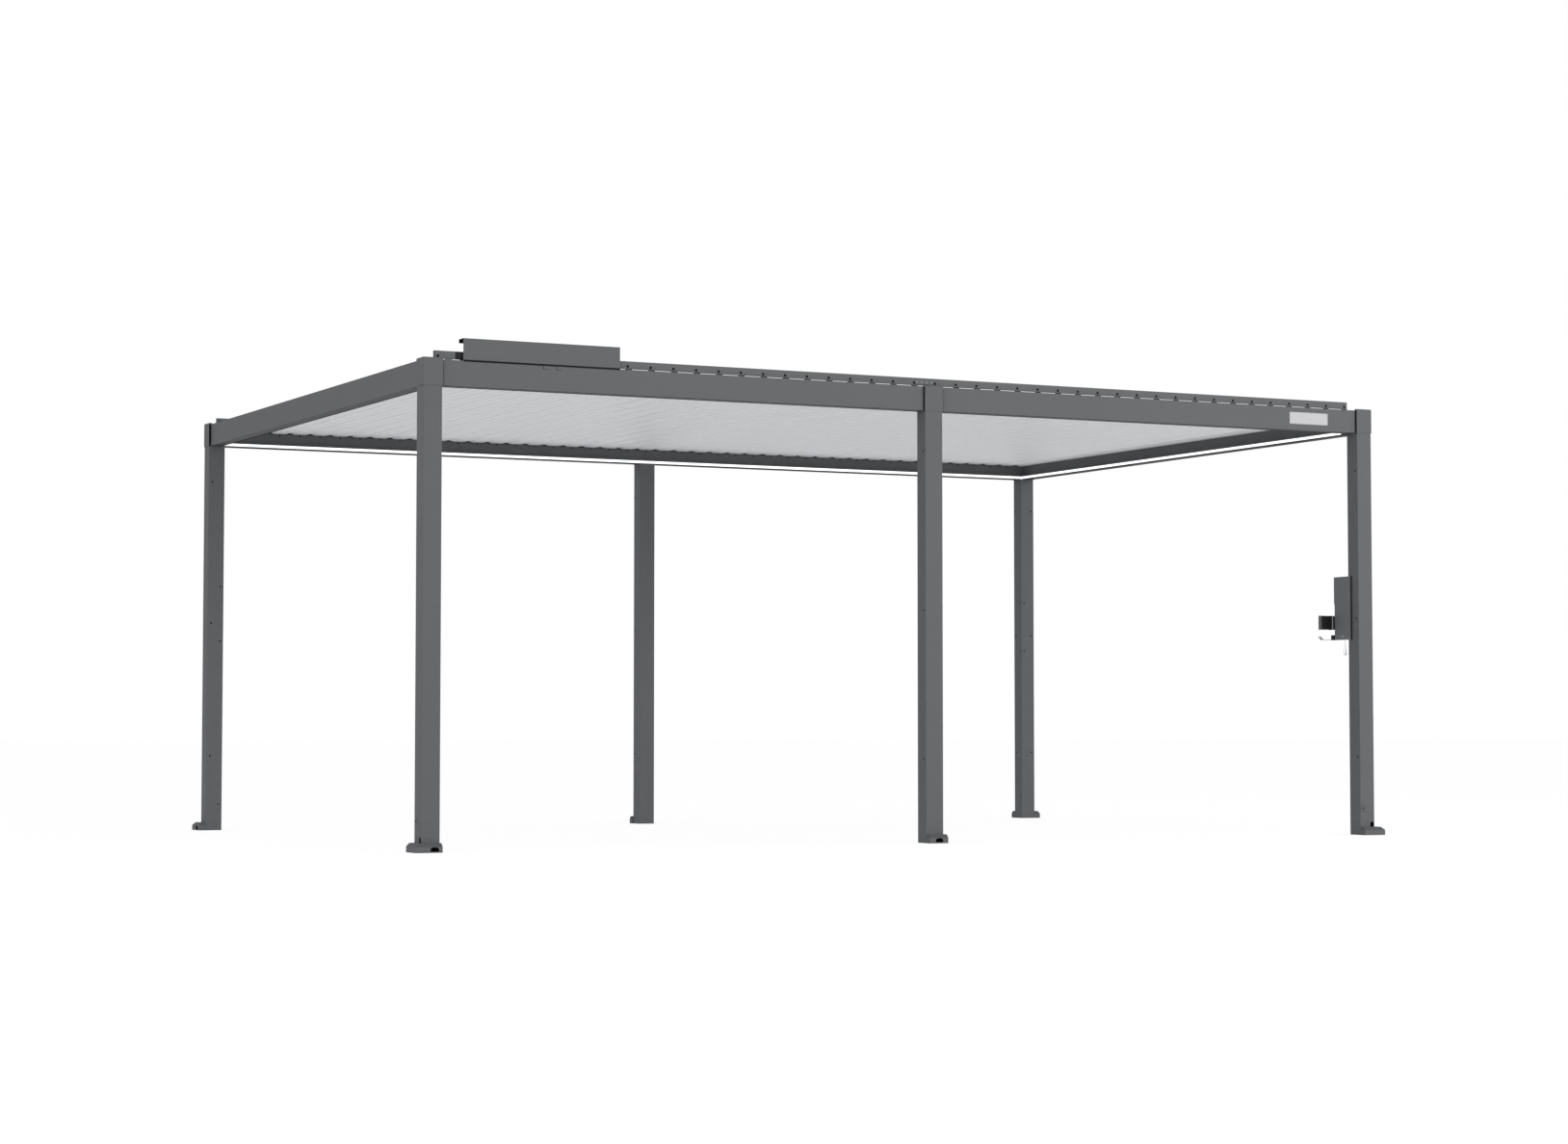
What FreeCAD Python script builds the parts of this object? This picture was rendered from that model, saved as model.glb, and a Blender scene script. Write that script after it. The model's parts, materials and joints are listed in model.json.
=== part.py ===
import FreeCAD, Part
import math
import os
from FreeCAD import Vector

# A free-standing louvered pergola. Millimetres. X runs along the long side, Y from the
# front to the back, Z up. The origin is on the ground under the middle of the frame.

# Frame
frame_length = 5930.0      # over the outer faces of the corner posts, along X
frame_depth = 3956.0       # over the outer faces of the corner posts, along Y
post_side = 100.0          # corner post, square
middle_post_width = 107.0  # along the beam
middle_post_depth = 94.0   # across the beam
post_wall = 2.5
post_round = 2.0           # radius of the upright edges
post_height = 2370.0       # ground to the underside of the beams
post_top_plate = 4.0

# Beams: a gutter channel above a box that carries the light strip
beam_height = 134.0
beam_width = 75.0          # at the bottom, over the light box
beam_inset = 10.0          # from the post's outer face to the beam's outer face
beam_wall = 2.5
beam_joint = 1.0           # gap between the two lengths over a middle post
light_box_height = 28.0
gutter_width = 47.0        # over both walls of the gutter
gutter_inner_height = 95.0 # from the beam's underside to the inner wall's top
beam_top_lip = 10.0
underside_groove_width = 10.0
underside_groove_depth = 1.2
underside_groove_edge = 12.0  # from the inner face to the groove

# Light strip in the inner face of the light box
strip_height = 15.0
strip_depth = 4.5
strip_lip = 5.5            # from the beam's underside to the strip
strip_recess = 0.5         # how far the diffuser stays behind the beam's face

# Covers at the top of the posts
cap_proud = 3.0            # outside the post's faces
corner_cap_rise = 8.0      # above the beams
middle_cap_rise = 2.5
cap_flange = 8.0           # width of the flange that lies on the beam's outer wall
cap_round = 2.0

# Covers at the foot of the posts
foot_reach = 44.0
foot_height = 48.0
foot_chamfer = 18.0
drain_width = 46.0
drain_height = 22.0
drain_round = 14.0
drain_sill = 6.0
drain_depth = 30.0
drain_offset = 42.0        # from the post's inner face to the middle of the drain
middle_foot_side = 6.5      # past the right side of the middle post
middle_drain = 5.0          # from the middle of the post to the middle of the drain
slot_width = 24.0
slot_top = 78.0
slot_offset = 17.0         # from the post's outer edge to the middle of the slot

# Louvers
louver_count = 44
louver_end_margin = 119.15  # from the side beam's outer face to the first and the last axis
louver_axis_height = 108.0  # above the beam's underside
louver_end_gap = 5.0        # to the gutter's inner wall
louver_cap = 4.0            # thickness of the end cap
louver_skin = 1.5
louver_seam = 5.6           # open at the underside between one louver and the next
louver_trough_width = 17.15 # of the rain trough, over its lip
louver_lap = 9.25           # how far a louver's edge reaches over the next one's trough
louver_bottom = 13.0        # from the axis down to the flat underside
louver_top = 11.0           # from the axis up to the top skin
louver_trough_lip = 10.0    # height of the rain trough's lip
louver_drip = 17.0          # height of the drip edge
recess_edge = 11.0          # from the trough to the hollow along the middle of the underside
recess_depth = 8.0
weep_radius = 4.0

# Link: an axle at each louver end, an arm in the gutter, a rail above the outer wall
axle_radius = 6.0
bearing_clearance = 0.1
bearing_width = 22.0
bearing_depth = 6.5
bearing_drop = 20.0         # how far the bearing reaches down the gutter's inner wall
bearing_rise = 12.0         # above the axle
arm_side = 45.0             # from the axle to the pin, along X and up, louvers closed
arm_half_width = 13.0
arm_thickness = 5.0
rail_setback = 14.0         # from the beam's outer face to the rail's front face
rail_thickness = 16.0
rail_height = 40.0
rail_wall = 2.0
rail_pin_height = 13.0      # from the rail's underside to the pins
rail_end = 20.0             # past the first and the last pin
rail_arm_gap = 1.0
pin_radius = 4.0
pin_clearance = 0.5
pin_stick_out = 2.0
splice_length = 106.0
splice_height = 27.0
splice_thickness = 3.0

# Drive under a cover on the front beam
cover_start = 218.0         # from the outer face of the left posts
cover_length = 872.0
cover_height = 111.0
cover_depth = 67.0
cover_sheet = 2.0
cover_gap = 5.0             # above the beam
cover_back_lip = 20.0
cover_setback = 1.0         # from the beam's outer face
cover_foot_thickness = 3.0  # of the strip behind the sheet that stands on the beam
cover_foot_height = 30.0
hook_width = 29.0           # of the two tabs folded down over the beam's outer face
hook_sheet = 1.5
hook_drop = 22.0            # below the beam's top
hook_pair = 74.0            # between the two tabs
hook_shift = 56.5           # from the cover's middle to the middle of the pair
cover_round = 3.0
motor_radius = 17.0
motor_length = 560.0
motor_start = 120.0         # from the cover's left end
motor_setback = 47.0        # from the beam's outer face to the motor's axis
motor_hang = 28.0           # from the cover's top sheet down to the motor's axis
gearbox_length = 110.0
gearbox_side = 32.0
saddle_length = 30.0
saddle_inset = 80.0

# Nameplate on the front beam
plate_length = 272.0
plate_height = 70.0
plate_thickness = 2.0
plate_centre = 442.0        # from the outer face of the right posts
plate_lift = 70.0           # from the beam's underside to the plate's middle

# Control box on the inner face of the front right post
box_width = 157.0
box_height = 375.0
box_thickness = 12.0
box_round = 5.0
box_bottom = 1150.0
box_front_offset = 65.0     # from the post's outer face to the box's front edge
box_back_plate = 4.0
box_back_reach = 12.0       # how far the back plate shows past the box
box_back_height = 160.0
console_reach = 95.0        # from the box's face into the pergola
console_width = 27.0
console_height = 82.0
console_drop = 231.0        # from the box's top to the console's top
console_end = 3.0           # thickness of the end plate
console_band = 11.0
console_band_offset = 10.0  # from the box's face to the band
console_proud = 1.0
tray_thickness = 2.0
tray_reach = 80.0           # from the box's face to the bend
tray_tip = 18.0             # reach of the part that is bent up
tray_block = 5.0
tray_block_height = 30.0
pull_offset = 62.0          # from the box's front edge
pull_stem_radius = 2.5
pull_stem = 32.0
pull_radius = 9.5
pull_length = 64.0

# Derived places
half_length = frame_length / 2
half_depth = frame_depth / 2
beam_bottom = post_height
beam_top = beam_bottom + beam_height
corner_cap_top = beam_top + corner_cap_rise
middle_cap_top = beam_top + middle_cap_rise
beam_outer_x = half_length - beam_inset
beam_outer_y = half_depth - beam_inset
axis_z = beam_bottom + louver_axis_height
first_axis_x = -beam_outer_x + louver_end_margin
louver_pitch = -2 * first_axis_x / (louver_count - 1)
louver_half_width = (louver_pitch - louver_seam) / 2
louver_trough = louver_half_width - louver_trough_width
louver_overhang = louver_pitch - louver_half_width + louver_lap
recess_half_width = louver_trough - recess_edge
louver_end_y = beam_outer_y - gutter_width - louver_end_gap
arm_outer_y = beam_outer_y - rail_setback - rail_thickness - rail_arm_gap
arm_inner_y = arm_outer_y - arm_thickness
rail_front_y = beam_outer_y - rail_setback
rail_bottom = axis_z + arm_side - rail_pin_height
first_pin_x = first_axis_x - arm_side
last_pin_x = first_pin_x + louver_pitch * (louver_count - 1)
rail_middle_x = (first_pin_x + last_pin_x) / 2

os.makedirs("parts", exist_ok=True)


def export(shapes, node):
    """Write the solids of one node."""
    solids = [solid for shape in shapes for solid in shape.Solids]
    Part.makeCompound(solids).exportStep("parts/" + node + ".step")


def block(x0, x1, y0, y1, z0, z1):
    """A box between two corners."""
    return Part.makeBox(x1 - x0, y1 - y0, z1 - z0, Vector(x0, y0, z0))


def turned(shape, quarter_turns):
    """A copy turned about the vertical axis through the origin."""
    copy = shape.copy()
    copy.rotate(Vector(0, 0, 0), Vector(0, 0, 1), 90 * quarter_turns)
    return copy


def mirrored(shape):
    """A copy mirrored from the front to the back."""
    return shape.mirror(Vector(0, 0, 0), Vector(0, 1, 0))


def moved(shape, x, y, z):
    """A copy moved by a vector."""
    copy = shape.copy()
    copy.translate(Vector(x, y, z))
    return copy


def polygon_face(points):
    """A flat face inside a closed run of points."""
    return Part.Face(Part.makePolygon(points + points[:1]))


def rod(radius, start, direction, length):
    """A round bar."""
    return Part.makeCylinder(radius, length, start, direction)


def post_tube(x0, x1, y0, y1):
    """A square tube with rounded upright edges, closed by a plate at the top."""
    outer = block(x0, x1, y0, y1, 0, post_height)
    upright = [edge for edge in outer.Edges if abs(edge.CenterOfMass.z - post_height / 2) < 0.01]
    inside = block(x0 + post_wall, x1 - post_wall, y0 + post_wall, y1 - post_wall,
                   0, post_height - post_top_plate)
    return outer.makeFillet(post_round, upright).cut(inside)


def corner_post():
    """The front left post, with the opening above its foot in the left face."""
    x0, y0 = -half_length, -half_depth
    tube = post_tube(x0, x0 + post_side, y0, y0 + post_side)
    slot_radius = slot_width / 2
    slot_y = y0 + slot_offset
    slot_spring = slot_top - slot_radius
    through = 2 * post_wall
    opening = block(x0 - post_wall, x0 + post_wall, slot_y - slot_radius, slot_y + slot_radius,
                    foot_height - through, slot_spring)
    arch = rod(slot_radius, Vector(x0 - post_wall, slot_y, slot_spring), Vector(1, 0, 0), through)
    return tube.cut(opening.fuse(arch))


def middle_post():
    """The post in the middle of the front."""
    x1 = middle_post_width / 2
    return post_tube(-x1, x1, -half_depth, -half_depth + middle_post_depth)


def edges_on(solid, *planes):
    """The edges whose middle lies on all the given planes, each an axis and a place."""
    return [edge for edge in solid.Edges
            if all(abs(getattr(edge.CenterOfMass, axis) - place) < 0.01
                   for axis, place in planes)]


def drain(x):
    """The arched drain outlet in the front face of a foot."""
    half = drain_width / 2
    front = -half_depth - foot_reach
    top = drain_sill + drain_height
    arch = block(x - half, x + half, front - drain_sill, front + drain_depth, drain_sill, top)
    shoulders = edges_on(arch, ("z", top), ("x", x - half))
    shoulders += edges_on(arch, ("z", top), ("x", x + half))
    return arch.makeFillet(drain_round, shoulders)


def corner_foot():
    """The cover round the two outer sides of the front left post."""
    x0, y0 = -half_length - foot_reach, -half_depth - foot_reach
    x1, y1 = -half_length + post_side, -half_depth + post_side
    whole = block(x0, x1, y0, y1, 0, foot_height)
    edges = edges_on(whole, ("z", foot_height), ("x", x0))
    edges += edges_on(whole, ("z", foot_height), ("y", y0))
    whole = whole.makeChamfer(foot_chamfer, edges)
    post = block(-half_length, x1, -half_depth, y1, 0, foot_height)
    return whole.cut(post).cut(drain(x1 - drain_offset))


def middle_foot():
    """The cover in front of the middle post."""
    x1 = middle_post_width / 2
    y0 = -half_depth - foot_reach
    whole = block(-x1, x1 + middle_foot_side, y0, -half_depth, 0, foot_height)
    edges = edges_on(whole, ("z", foot_height), ("y", y0))
    return whole.makeChamfer(foot_chamfer, edges).cut(drain(middle_drain))


def corner_cap():
    """The cover over the beam ends at the front left corner."""
    x0, y0 = -half_length - cap_proud, -half_depth - cap_proud
    x1, y1 = -half_length + post_side + cap_proud, -half_depth + post_side + cap_proud
    whole = block(x0, x1, y0, y1, beam_bottom, corner_cap_top)
    edges = edges_on(whole, ("x", x0), ("y", y0))
    edges += edges_on(whole, ("z", corner_cap_top), ("x", x0))
    edges += edges_on(whole, ("z", corner_cap_top), ("y", y0))
    whole = whole.makeFillet(cap_round, edges)
    inside = block(-beam_outer_x, x1, -beam_outer_y, y1, beam_bottom, beam_top)
    middle = block(-beam_outer_x + cap_flange, x1, -beam_outer_y + cap_flange, y1,
                   beam_top, corner_cap_top)
    return whole.cut(inside).cut(middle)


def middle_cap():
    """The cover over the joint of the front beams."""
    x1 = middle_post_width / 2 + cap_proud
    y0 = -half_depth - cap_proud
    plate = block(-x1, x1, y0, -beam_outer_y, beam_bottom, middle_cap_top)
    flange = block(-x1, x1, -beam_outer_y, -beam_outer_y + cap_flange, beam_top, middle_cap_top)
    whole = plate.fuse(flange).removeSplitter()
    return whole.makeFillet(cap_round, edges_on(whole, ("z", middle_cap_top), ("y", y0)))


# Beams


def beam_face(x):
    """The section of the front beam, across X."""
    y0 = -beam_outer_y
    light = y0 + beam_width
    gutter = y0 + gutter_width
    floor_top = beam_bottom + light_box_height
    strip_bottom = beam_bottom + strip_lip
    strip_top = strip_bottom + strip_height
    groove1 = light - underside_groove_edge
    groove0 = groove1 - underside_groove_width
    wall = beam_wall
    outer = [(y0, beam_bottom), (groove0, beam_bottom),
             (groove0, beam_bottom + underside_groove_depth),
             (groove1, beam_bottom + underside_groove_depth),
             (groove1, beam_bottom), (light, beam_bottom), (light, strip_bottom),
             (light - strip_depth, strip_bottom), (light - strip_depth, strip_top),
             (light, strip_top), (light, floor_top), (gutter, floor_top),
             (gutter, beam_bottom + gutter_inner_height),
             (gutter - wall, beam_bottom + gutter_inner_height),
             (gutter - wall, floor_top), (y0 + wall, floor_top),
             (y0 + wall, beam_top - wall), (y0 + beam_top_lip, beam_top - wall),
             (y0 + beam_top_lip, beam_top), (y0, beam_top)]
    hollow_side = light - strip_depth - wall
    hollow = [(y0 + wall, beam_bottom + 2 * wall), (hollow_side, beam_bottom + 2 * wall),
              (hollow_side, floor_top - wall), (y0 + wall, floor_top - wall)]
    section = polygon_face([Vector(x, y, z) for y, z in outer])
    return section.cut(polygon_face([Vector(x, y, z) for y, z in hollow]))


def beam(x0, x1):
    """A length of the front beam between two places along X."""
    return beam_face(x0).extrude(Vector(x1 - x0, 0, 0))


def mitre(half_x, half_y):
    """The space of the front beam between its two mitred corners."""
    reach = half_y
    points = [Vector(-half_x, -half_y, beam_bottom), Vector(half_x, -half_y, beam_bottom),
              Vector(half_x - reach, -half_y + reach, beam_bottom),
              Vector(-half_x + reach, -half_y + reach, beam_bottom)]
    return polygon_face(points).extrude(Vector(0, 0, beam_height))


def front_beam_lengths():
    """The two lengths of the front beam, mitred at the corners."""
    space = mitre(beam_outer_x, beam_outer_y)
    left = beam(-beam_outer_x, -beam_joint / 2).common(space)
    right = beam(beam_joint / 2, beam_outer_x).common(space)
    return [left, right]


def side_beam():
    """The left beam, mitred at the corners."""
    shift = beam_outer_x - beam_outer_y
    straight = turned(beam(-beam_outer_x, beam_outer_x), 3)
    straight.translate(Vector(-shift, 0, 0))
    inner_x = -beam_outer_x + beam_outer_y
    points = [Vector(-beam_outer_x, -beam_outer_y, beam_bottom),
              Vector(inner_x, 0, beam_bottom),
              Vector(-beam_outer_x, beam_outer_y, beam_bottom)]
    return straight.common(polygon_face(points).extrude(Vector(0, 0, beam_height)))


def strip(half_run, outer):
    """A light strip in the beam at the front of a rectangle, mitred at both ends."""
    z0 = beam_bottom + strip_lip
    face_y = -outer + beam_width - strip_recess
    back_y = -outer + beam_width - strip_depth
    shorter = half_run - beam_width + strip_recess
    longer = half_run - beam_width + strip_depth
    points = [Vector(-longer, back_y, z0), Vector(longer, back_y, z0),
              Vector(shorter, face_y, z0), Vector(-shorter, face_y, z0)]
    return polygon_face(points).extrude(Vector(0, 0, strip_height))


# Louvers


def recess_edges(y):
    """The S-shaped flanks of the hollow along the underside, from left to right."""
    bottom = -louver_bottom
    quarter = recess_half_width / 2
    rise = recess_depth / 2
    radius = (quarter ** 2 + rise ** 2) / (2 * rise)
    half_angle = math.asin(quarter / radius) / 2
    side = radius * math.sin(half_angle)
    lift = radius * (1 - math.cos(half_angle))
    places = [(-recess_half_width, 0.0), (-recess_half_width + side, lift),
              (-quarter, rise), (-side, recess_depth - lift), (0.0, recess_depth),
              (side, recess_depth - lift), (quarter, rise),
              (recess_half_width - side, lift), (recess_half_width, 0.0)]
    points = [Vector(x, y, bottom + z) for x, z in places]
    return [Part.Arc(points[i], points[i + 1], points[i + 2]).toShape() for i in (0, 2, 4, 6)]


def closed_face(points_before, middle_edges, points_after):
    """A face bounded by straight runs and a run of curved edges."""
    start = middle_edges[0].firstVertex().Point
    end = middle_edges[-1].lastVertex().Point
    ring = points_before + [start]
    edges = [Part.makeLine(a, b) for a, b in zip(ring, ring[1:])]
    edges += middle_edges
    ring = [end] + points_after + [points_before[0]]
    edges += [Part.makeLine(a, b) for a, b in zip(ring, ring[1:])]
    return Part.Face(Part.Wire(edges))


def louver_outline(y):
    """The section of a louver's skins with its lips, solid inside, across Y."""
    skin = louver_skin
    top = louver_top
    bottom = -louver_bottom
    left = -louver_half_width
    before = [Vector(left, y, bottom)]
    after = [(louver_half_width, bottom), (louver_half_width, bottom + louver_trough_lip),
             (louver_half_width - skin, bottom + louver_trough_lip),
             (louver_half_width - skin, bottom + skin), (louver_trough, bottom + skin),
             (louver_trough, top), (-louver_overhang, top),
             (-louver_overhang, top - louver_drip),
             (-louver_overhang + skin, top - louver_drip),
             (-louver_overhang + skin, top - skin), (left, top - skin)]
    return closed_face(before, recess_edges(y), [Vector(x, y, z) for x, z in after])


def body_outline(y, shrink):
    """The section of the hollow body alone, drawn in by a skin."""
    left = -louver_half_width + shrink
    right = louver_trough - shrink
    bottom = -louver_bottom + shrink
    top = louver_top - shrink
    edges = [edge.copy() for edge in recess_edges(y)]
    for edge in edges:
        edge.translate(Vector(0, 0, shrink))
    return closed_face([Vector(left, y, bottom)], edges,
                       [Vector(right, y, bottom), Vector(right, y, top), Vector(left, y, top)])


def link_end():
    """Axle, arm and pin at the front end of a louver, with the axle on the Y axis."""
    back = Vector(0, 1, 0)
    axle = rod(axle_radius, Vector(0, -arm_outer_y, 0), back, arm_outer_y - louver_end_y)
    pin_y = -rail_front_y - pin_stick_out
    pin = rod(pin_radius, Vector(-arm_side, pin_y, arm_side), back, -arm_inner_y - pin_y)
    lower = rod(arm_half_width, Vector(0, -arm_outer_y, 0), back, arm_thickness)
    upper = rod(arm_half_width, Vector(-arm_side, -arm_outer_y, arm_side), back, arm_thickness)
    across = Vector(1, 0, 1).normalize() * arm_half_width
    foot = Vector(0, -arm_outer_y, 0)
    head = Vector(-arm_side, -arm_outer_y, arm_side)
    bar = polygon_face([foot - across, foot + across, head + across, head - across])
    arm = bar.extrude(Vector(0, arm_thickness, 0)).fuse([lower, upper])
    return arm.fuse([axle, pin]).removeSplitter()


def louver():
    """One louver with its end caps, axles and arms, its axis on the Y axis."""
    inner_y = louver_end_y - louver_cap
    blade = louver_outline(-inner_y).extrude(Vector(0, 2 * inner_y, 0))
    blade = blade.cut(body_outline(-inner_y, louver_skin).extrude(Vector(0, 2 * inner_y, 0)))
    cap = body_outline(-louver_end_y, 0.0).extrude(Vector(0, louver_cap, 0))
    weep = rod(weep_radius, Vector(louver_trough / 2, -louver_end_y - louver_cap, 0),
               Vector(0, 1, 0), 3 * louver_cap)
    end = cap.cut(weep).fuse(link_end())
    return blade.fuse([end, mirrored(end)]).removeSplitter()


def bearing(x):
    """The block on the front gutter wall that carries one axle."""
    wall_y = -beam_outer_y + gutter_width - beam_wall
    z0 = beam_bottom + gutter_inner_height - bearing_drop
    body = block(x - bearing_width / 2, x + bearing_width / 2, wall_y - bearing_depth, wall_y,
                 z0, axis_z + bearing_rise)
    hole = rod(axle_radius + bearing_clearance, Vector(x, wall_y - 2 * bearing_depth, axis_z),
               Vector(0, 1, 0), 3 * bearing_depth)
    return body.cut(hole)


def link_rail():
    """The front rail that joins the arms, with the plate over its middle joint."""
    x0 = first_pin_x - rail_end
    x1 = last_pin_x + rail_end
    y0 = -rail_front_y
    rail = block(x0, x1, y0, y0 + rail_thickness, rail_bottom, rail_bottom + rail_height)
    hollow = block(x0 + rail_wall, x1 - rail_wall,
                   y0 + rail_wall, y0 + rail_thickness - rail_wall,
                   rail_bottom + rail_wall, rail_bottom + rail_height - rail_wall)
    splice_z = rail_bottom + (rail_height - splice_height) / 2
    splice = block(rail_middle_x - splice_length / 2, rail_middle_x + splice_length / 2,
                   y0 - splice_thickness, y0, splice_z, splice_z + splice_height)
    holes = [rod(pin_radius + pin_clearance,
                 Vector(first_pin_x + louver_pitch * index, y0 - splice_thickness,
                        axis_z + arm_side),
                 Vector(0, 1, 0), rail_thickness + 2 * splice_thickness)
             for index in range(louver_count)]
    return rail.fuse(splice).cut(hollow).cut(Part.makeCompound(holes))


cover_x0 = -half_length + cover_start
cover_x1 = cover_x0 + cover_length
cover_y0 = -beam_outer_y + cover_setback
cover_z0 = beam_top + cover_gap
cover_z1 = cover_z0 + cover_height


def motor_cover():
    """The folded sheet over the drive, with its foot strip and the tabs on the beam."""
    front = block(cover_x0, cover_x1, cover_y0, cover_y0 + cover_sheet, cover_z0, cover_z1)
    top = block(cover_x0, cover_x1, cover_y0, cover_y0 + cover_depth,
                cover_z1 - cover_sheet, cover_z1)
    lip = block(cover_x0, cover_x1, cover_y0 + cover_depth - cover_sheet,
                cover_y0 + cover_depth, cover_z1 - cover_back_lip, cover_z1)
    foot_y1 = cover_y0 + cover_sheet + cover_foot_thickness
    foot = block(cover_x0, cover_x1, cover_y0 + cover_sheet, foot_y1,
                 beam_top, beam_top + cover_foot_height)
    hook_y = -beam_outer_y - hook_sheet
    pair_x = (cover_x0 + cover_x1) / 2 + hook_shift
    hooks = []
    for x in (pair_x - hook_pair / 2, pair_x + hook_pair / 2):
        x0, x1 = x - hook_width / 2, x + hook_width / 2
        hooks.append(block(x0, x1, hook_y, foot_y1, beam_top, beam_top + hook_sheet))
        hooks.append(block(x0, x1, hook_y, -beam_outer_y, beam_top - hook_drop,
                           beam_top + hook_sheet))
    sheet = front.fuse([top, lip]).removeSplitter()
    bends = edges_on(sheet, ("z", cover_z1), ("y", cover_y0))
    bends += edges_on(sheet, ("z", cover_z1), ("y", cover_y0 + cover_depth))
    return sheet.makeFillet(cover_round, bends).fuse([foot] + hooks).removeSplitter()


def drive_motor():
    """The tubular motor and its gearbox, hung under the cover by two saddles."""
    x0 = cover_x0 + motor_start
    y = -beam_outer_y + motor_setback
    z = cover_z1 - cover_sheet - motor_hang
    tube = rod(motor_radius, Vector(x0, y, z), Vector(1, 0, 0), motor_length)
    half = gearbox_side / 2
    gearbox = block(x0, x0 + gearbox_length, y - half, y + half, z - half, z + half)
    saddles = [block(x - saddle_length / 2, x + saddle_length / 2, y - half, y + half,
                     z, cover_z1 - cover_sheet)
               for x in (x0 + saddle_inset, x0 + motor_length - saddle_inset)]
    return tube.fuse([gearbox] + saddles).removeSplitter()


def nameplate():
    """The bare plate on the front beam."""
    x = half_length - plate_centre
    z = beam_bottom + plate_lift
    return block(x - plate_length / 2, x + plate_length / 2,
                 -beam_outer_y - plate_thickness, -beam_outer_y,
                 z - plate_height / 2, z + plate_height / 2)


# Control box on the inner face of the front right post

box_x1 = half_length - post_side
box_x0 = box_x1 - box_thickness
box_y0 = -half_depth + box_front_offset
box_y1 = box_y0 + box_width
box_top = box_bottom + box_height


def control_box():
    """The flat box with its back plate."""
    face_x = box_x1 - box_back_plate
    body = block(box_x0, face_x, box_y0, box_y1, box_bottom, box_top)
    front_edges = [edge for edge in body.Edges if abs(edge.CenterOfMass.x - box_x0) < 0.01]
    body = body.makeFillet(box_round, front_edges)
    plate = block(face_x, box_x1, box_y0, box_y1 + box_back_reach,
                  box_top - box_back_height, box_top)
    lower = block(face_x, box_x1, box_y0, box_y1, box_bottom, box_top)
    return body.fuse([plate, lower]).removeSplitter()


def console_slice(start, end, grow):
    """A slice of the console between two reaches from the box's face."""
    top = box_top - console_drop + grow
    return block(box_x0 - end, box_x0 - start, box_y1 - grow, box_y1 + console_width + grow,
                 top - console_height - 2 * grow, top)


def console():
    """The console at the back edge of the box, with its end plate and its band."""
    body = console_slice(-box_thickness, console_reach - console_end, 0.0)
    end = console_slice(console_reach - console_end, console_reach, console_proud)
    band = console_slice(console_band_offset, console_band_offset + console_band, console_proud)
    inside = block(box_x0, box_x1, box_y1 - console_proud, box_y1, box_bottom, box_top)
    return body.fuse([end, band]).cut(inside).removeSplitter()


def tray():
    """The thin tray below the console, with its end bent up, and the block that holds it."""
    y0, y1 = box_y1, box_y1 + console_width
    bend = box_x0 - tray_reach
    rise = tray_thickness * (math.sqrt(2) - 1)
    profile = [(box_x1, box_bottom), (bend, box_bottom),
               (bend - tray_tip, box_bottom + tray_tip),
               (bend - tray_tip, box_bottom + tray_tip + tray_thickness * math.sqrt(2)),
               (bend + rise, box_bottom + tray_thickness), (box_x1, box_bottom + tray_thickness)]
    sheet = polygon_face([Vector(x, y0, z) for x, z in profile]).extrude(Vector(0, y1 - y0, 0))
    holder = block(box_x0 - tray_block, box_x1, y0, y1, box_bottom + tray_thickness,
                   box_bottom + tray_block_height)
    return sheet.fuse(holder).removeSplitter()


def pull():
    """The drop-shaped pull under the box."""
    x = box_x0 + box_thickness / 2
    y = box_y0 + pull_offset
    stem = rod(pull_stem_radius, Vector(x, y, box_bottom - pull_stem), Vector(0, 0, 1), pull_stem)
    top = box_bottom - pull_stem + pull_stem_radius
    low = top - pull_length + pull_radius
    neck_radius = pull_stem_radius + 1.0
    drop = Part.makeCone(pull_radius, neck_radius, top - low, Vector(x, y, low), Vector(0, 0, 1))
    ball = Part.makeSphere(pull_radius, Vector(x, y, low))
    return stem.fuse([drop, ball]).removeSplitter()


def build():
    """Make every node."""
    quarter = frame_length / 2 - frame_depth / 2
    corners = []
    feet = []
    caps = []
    for piece, pieces in ((corner_post(), corners), (corner_foot(), feet), (corner_cap(), caps)):
        for quarter_turns in range(4):
            square = moved(piece, quarter, 0, 0)
            placed = turned(square, quarter_turns)
            side = -1 if quarter_turns in (0, 3) else 1
            pieces.append(moved(placed, side * quarter, 0, 0))
    export(corners, "corner_posts")
    export([middle_post(), turned(middle_post(), 2)], "middle_posts")
    export(feet + [middle_foot(), turned(middle_foot(), 2)], "post_feet")
    export(caps + [middle_cap(), turned(middle_cap(), 2)], "post_caps")

    front = front_beam_lengths()
    export(front, "front_beams")
    export([turned(shape, 2) for shape in front], "back_beams")
    left = side_beam()
    export([left, turned(left, 2)], "side_beams")

    long_strip = strip(beam_outer_x, beam_outer_y)
    short_strip = turned(strip(beam_outer_y, beam_outer_x), 3)
    export([long_strip, turned(long_strip, 2), short_strip, turned(short_strip, 2)],
           "light_strips")

    blade = louver()
    bearings = []
    for index in range(louver_count):
        x = first_axis_x + louver_pitch * index
        export([moved(blade, x, 0, axis_z)], "louver_%02d" % (index + 1))
        bearings += [bearing(x), mirrored(bearing(x))]
    export(bearings, "louver_bearings")
    export([link_rail(), mirrored(link_rail())], "link_rails")

    export([motor_cover()], "motor_cover")
    export([drive_motor()], "drive_motor")
    export([nameplate()], "nameplate")
    export([control_box()], "control_box")
    export([console(), tray()], "box_console")
    export([pull()], "box_pull")


build()
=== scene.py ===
"""The looks of a louvered pergola: finishes, small hardware, studio and camera."""

from collections.abc import Callable
from dataclasses import dataclass
from enum import Enum
import json
import logging
import math

import bmesh
import bpy
from mathutils import Matrix, Vector

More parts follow.
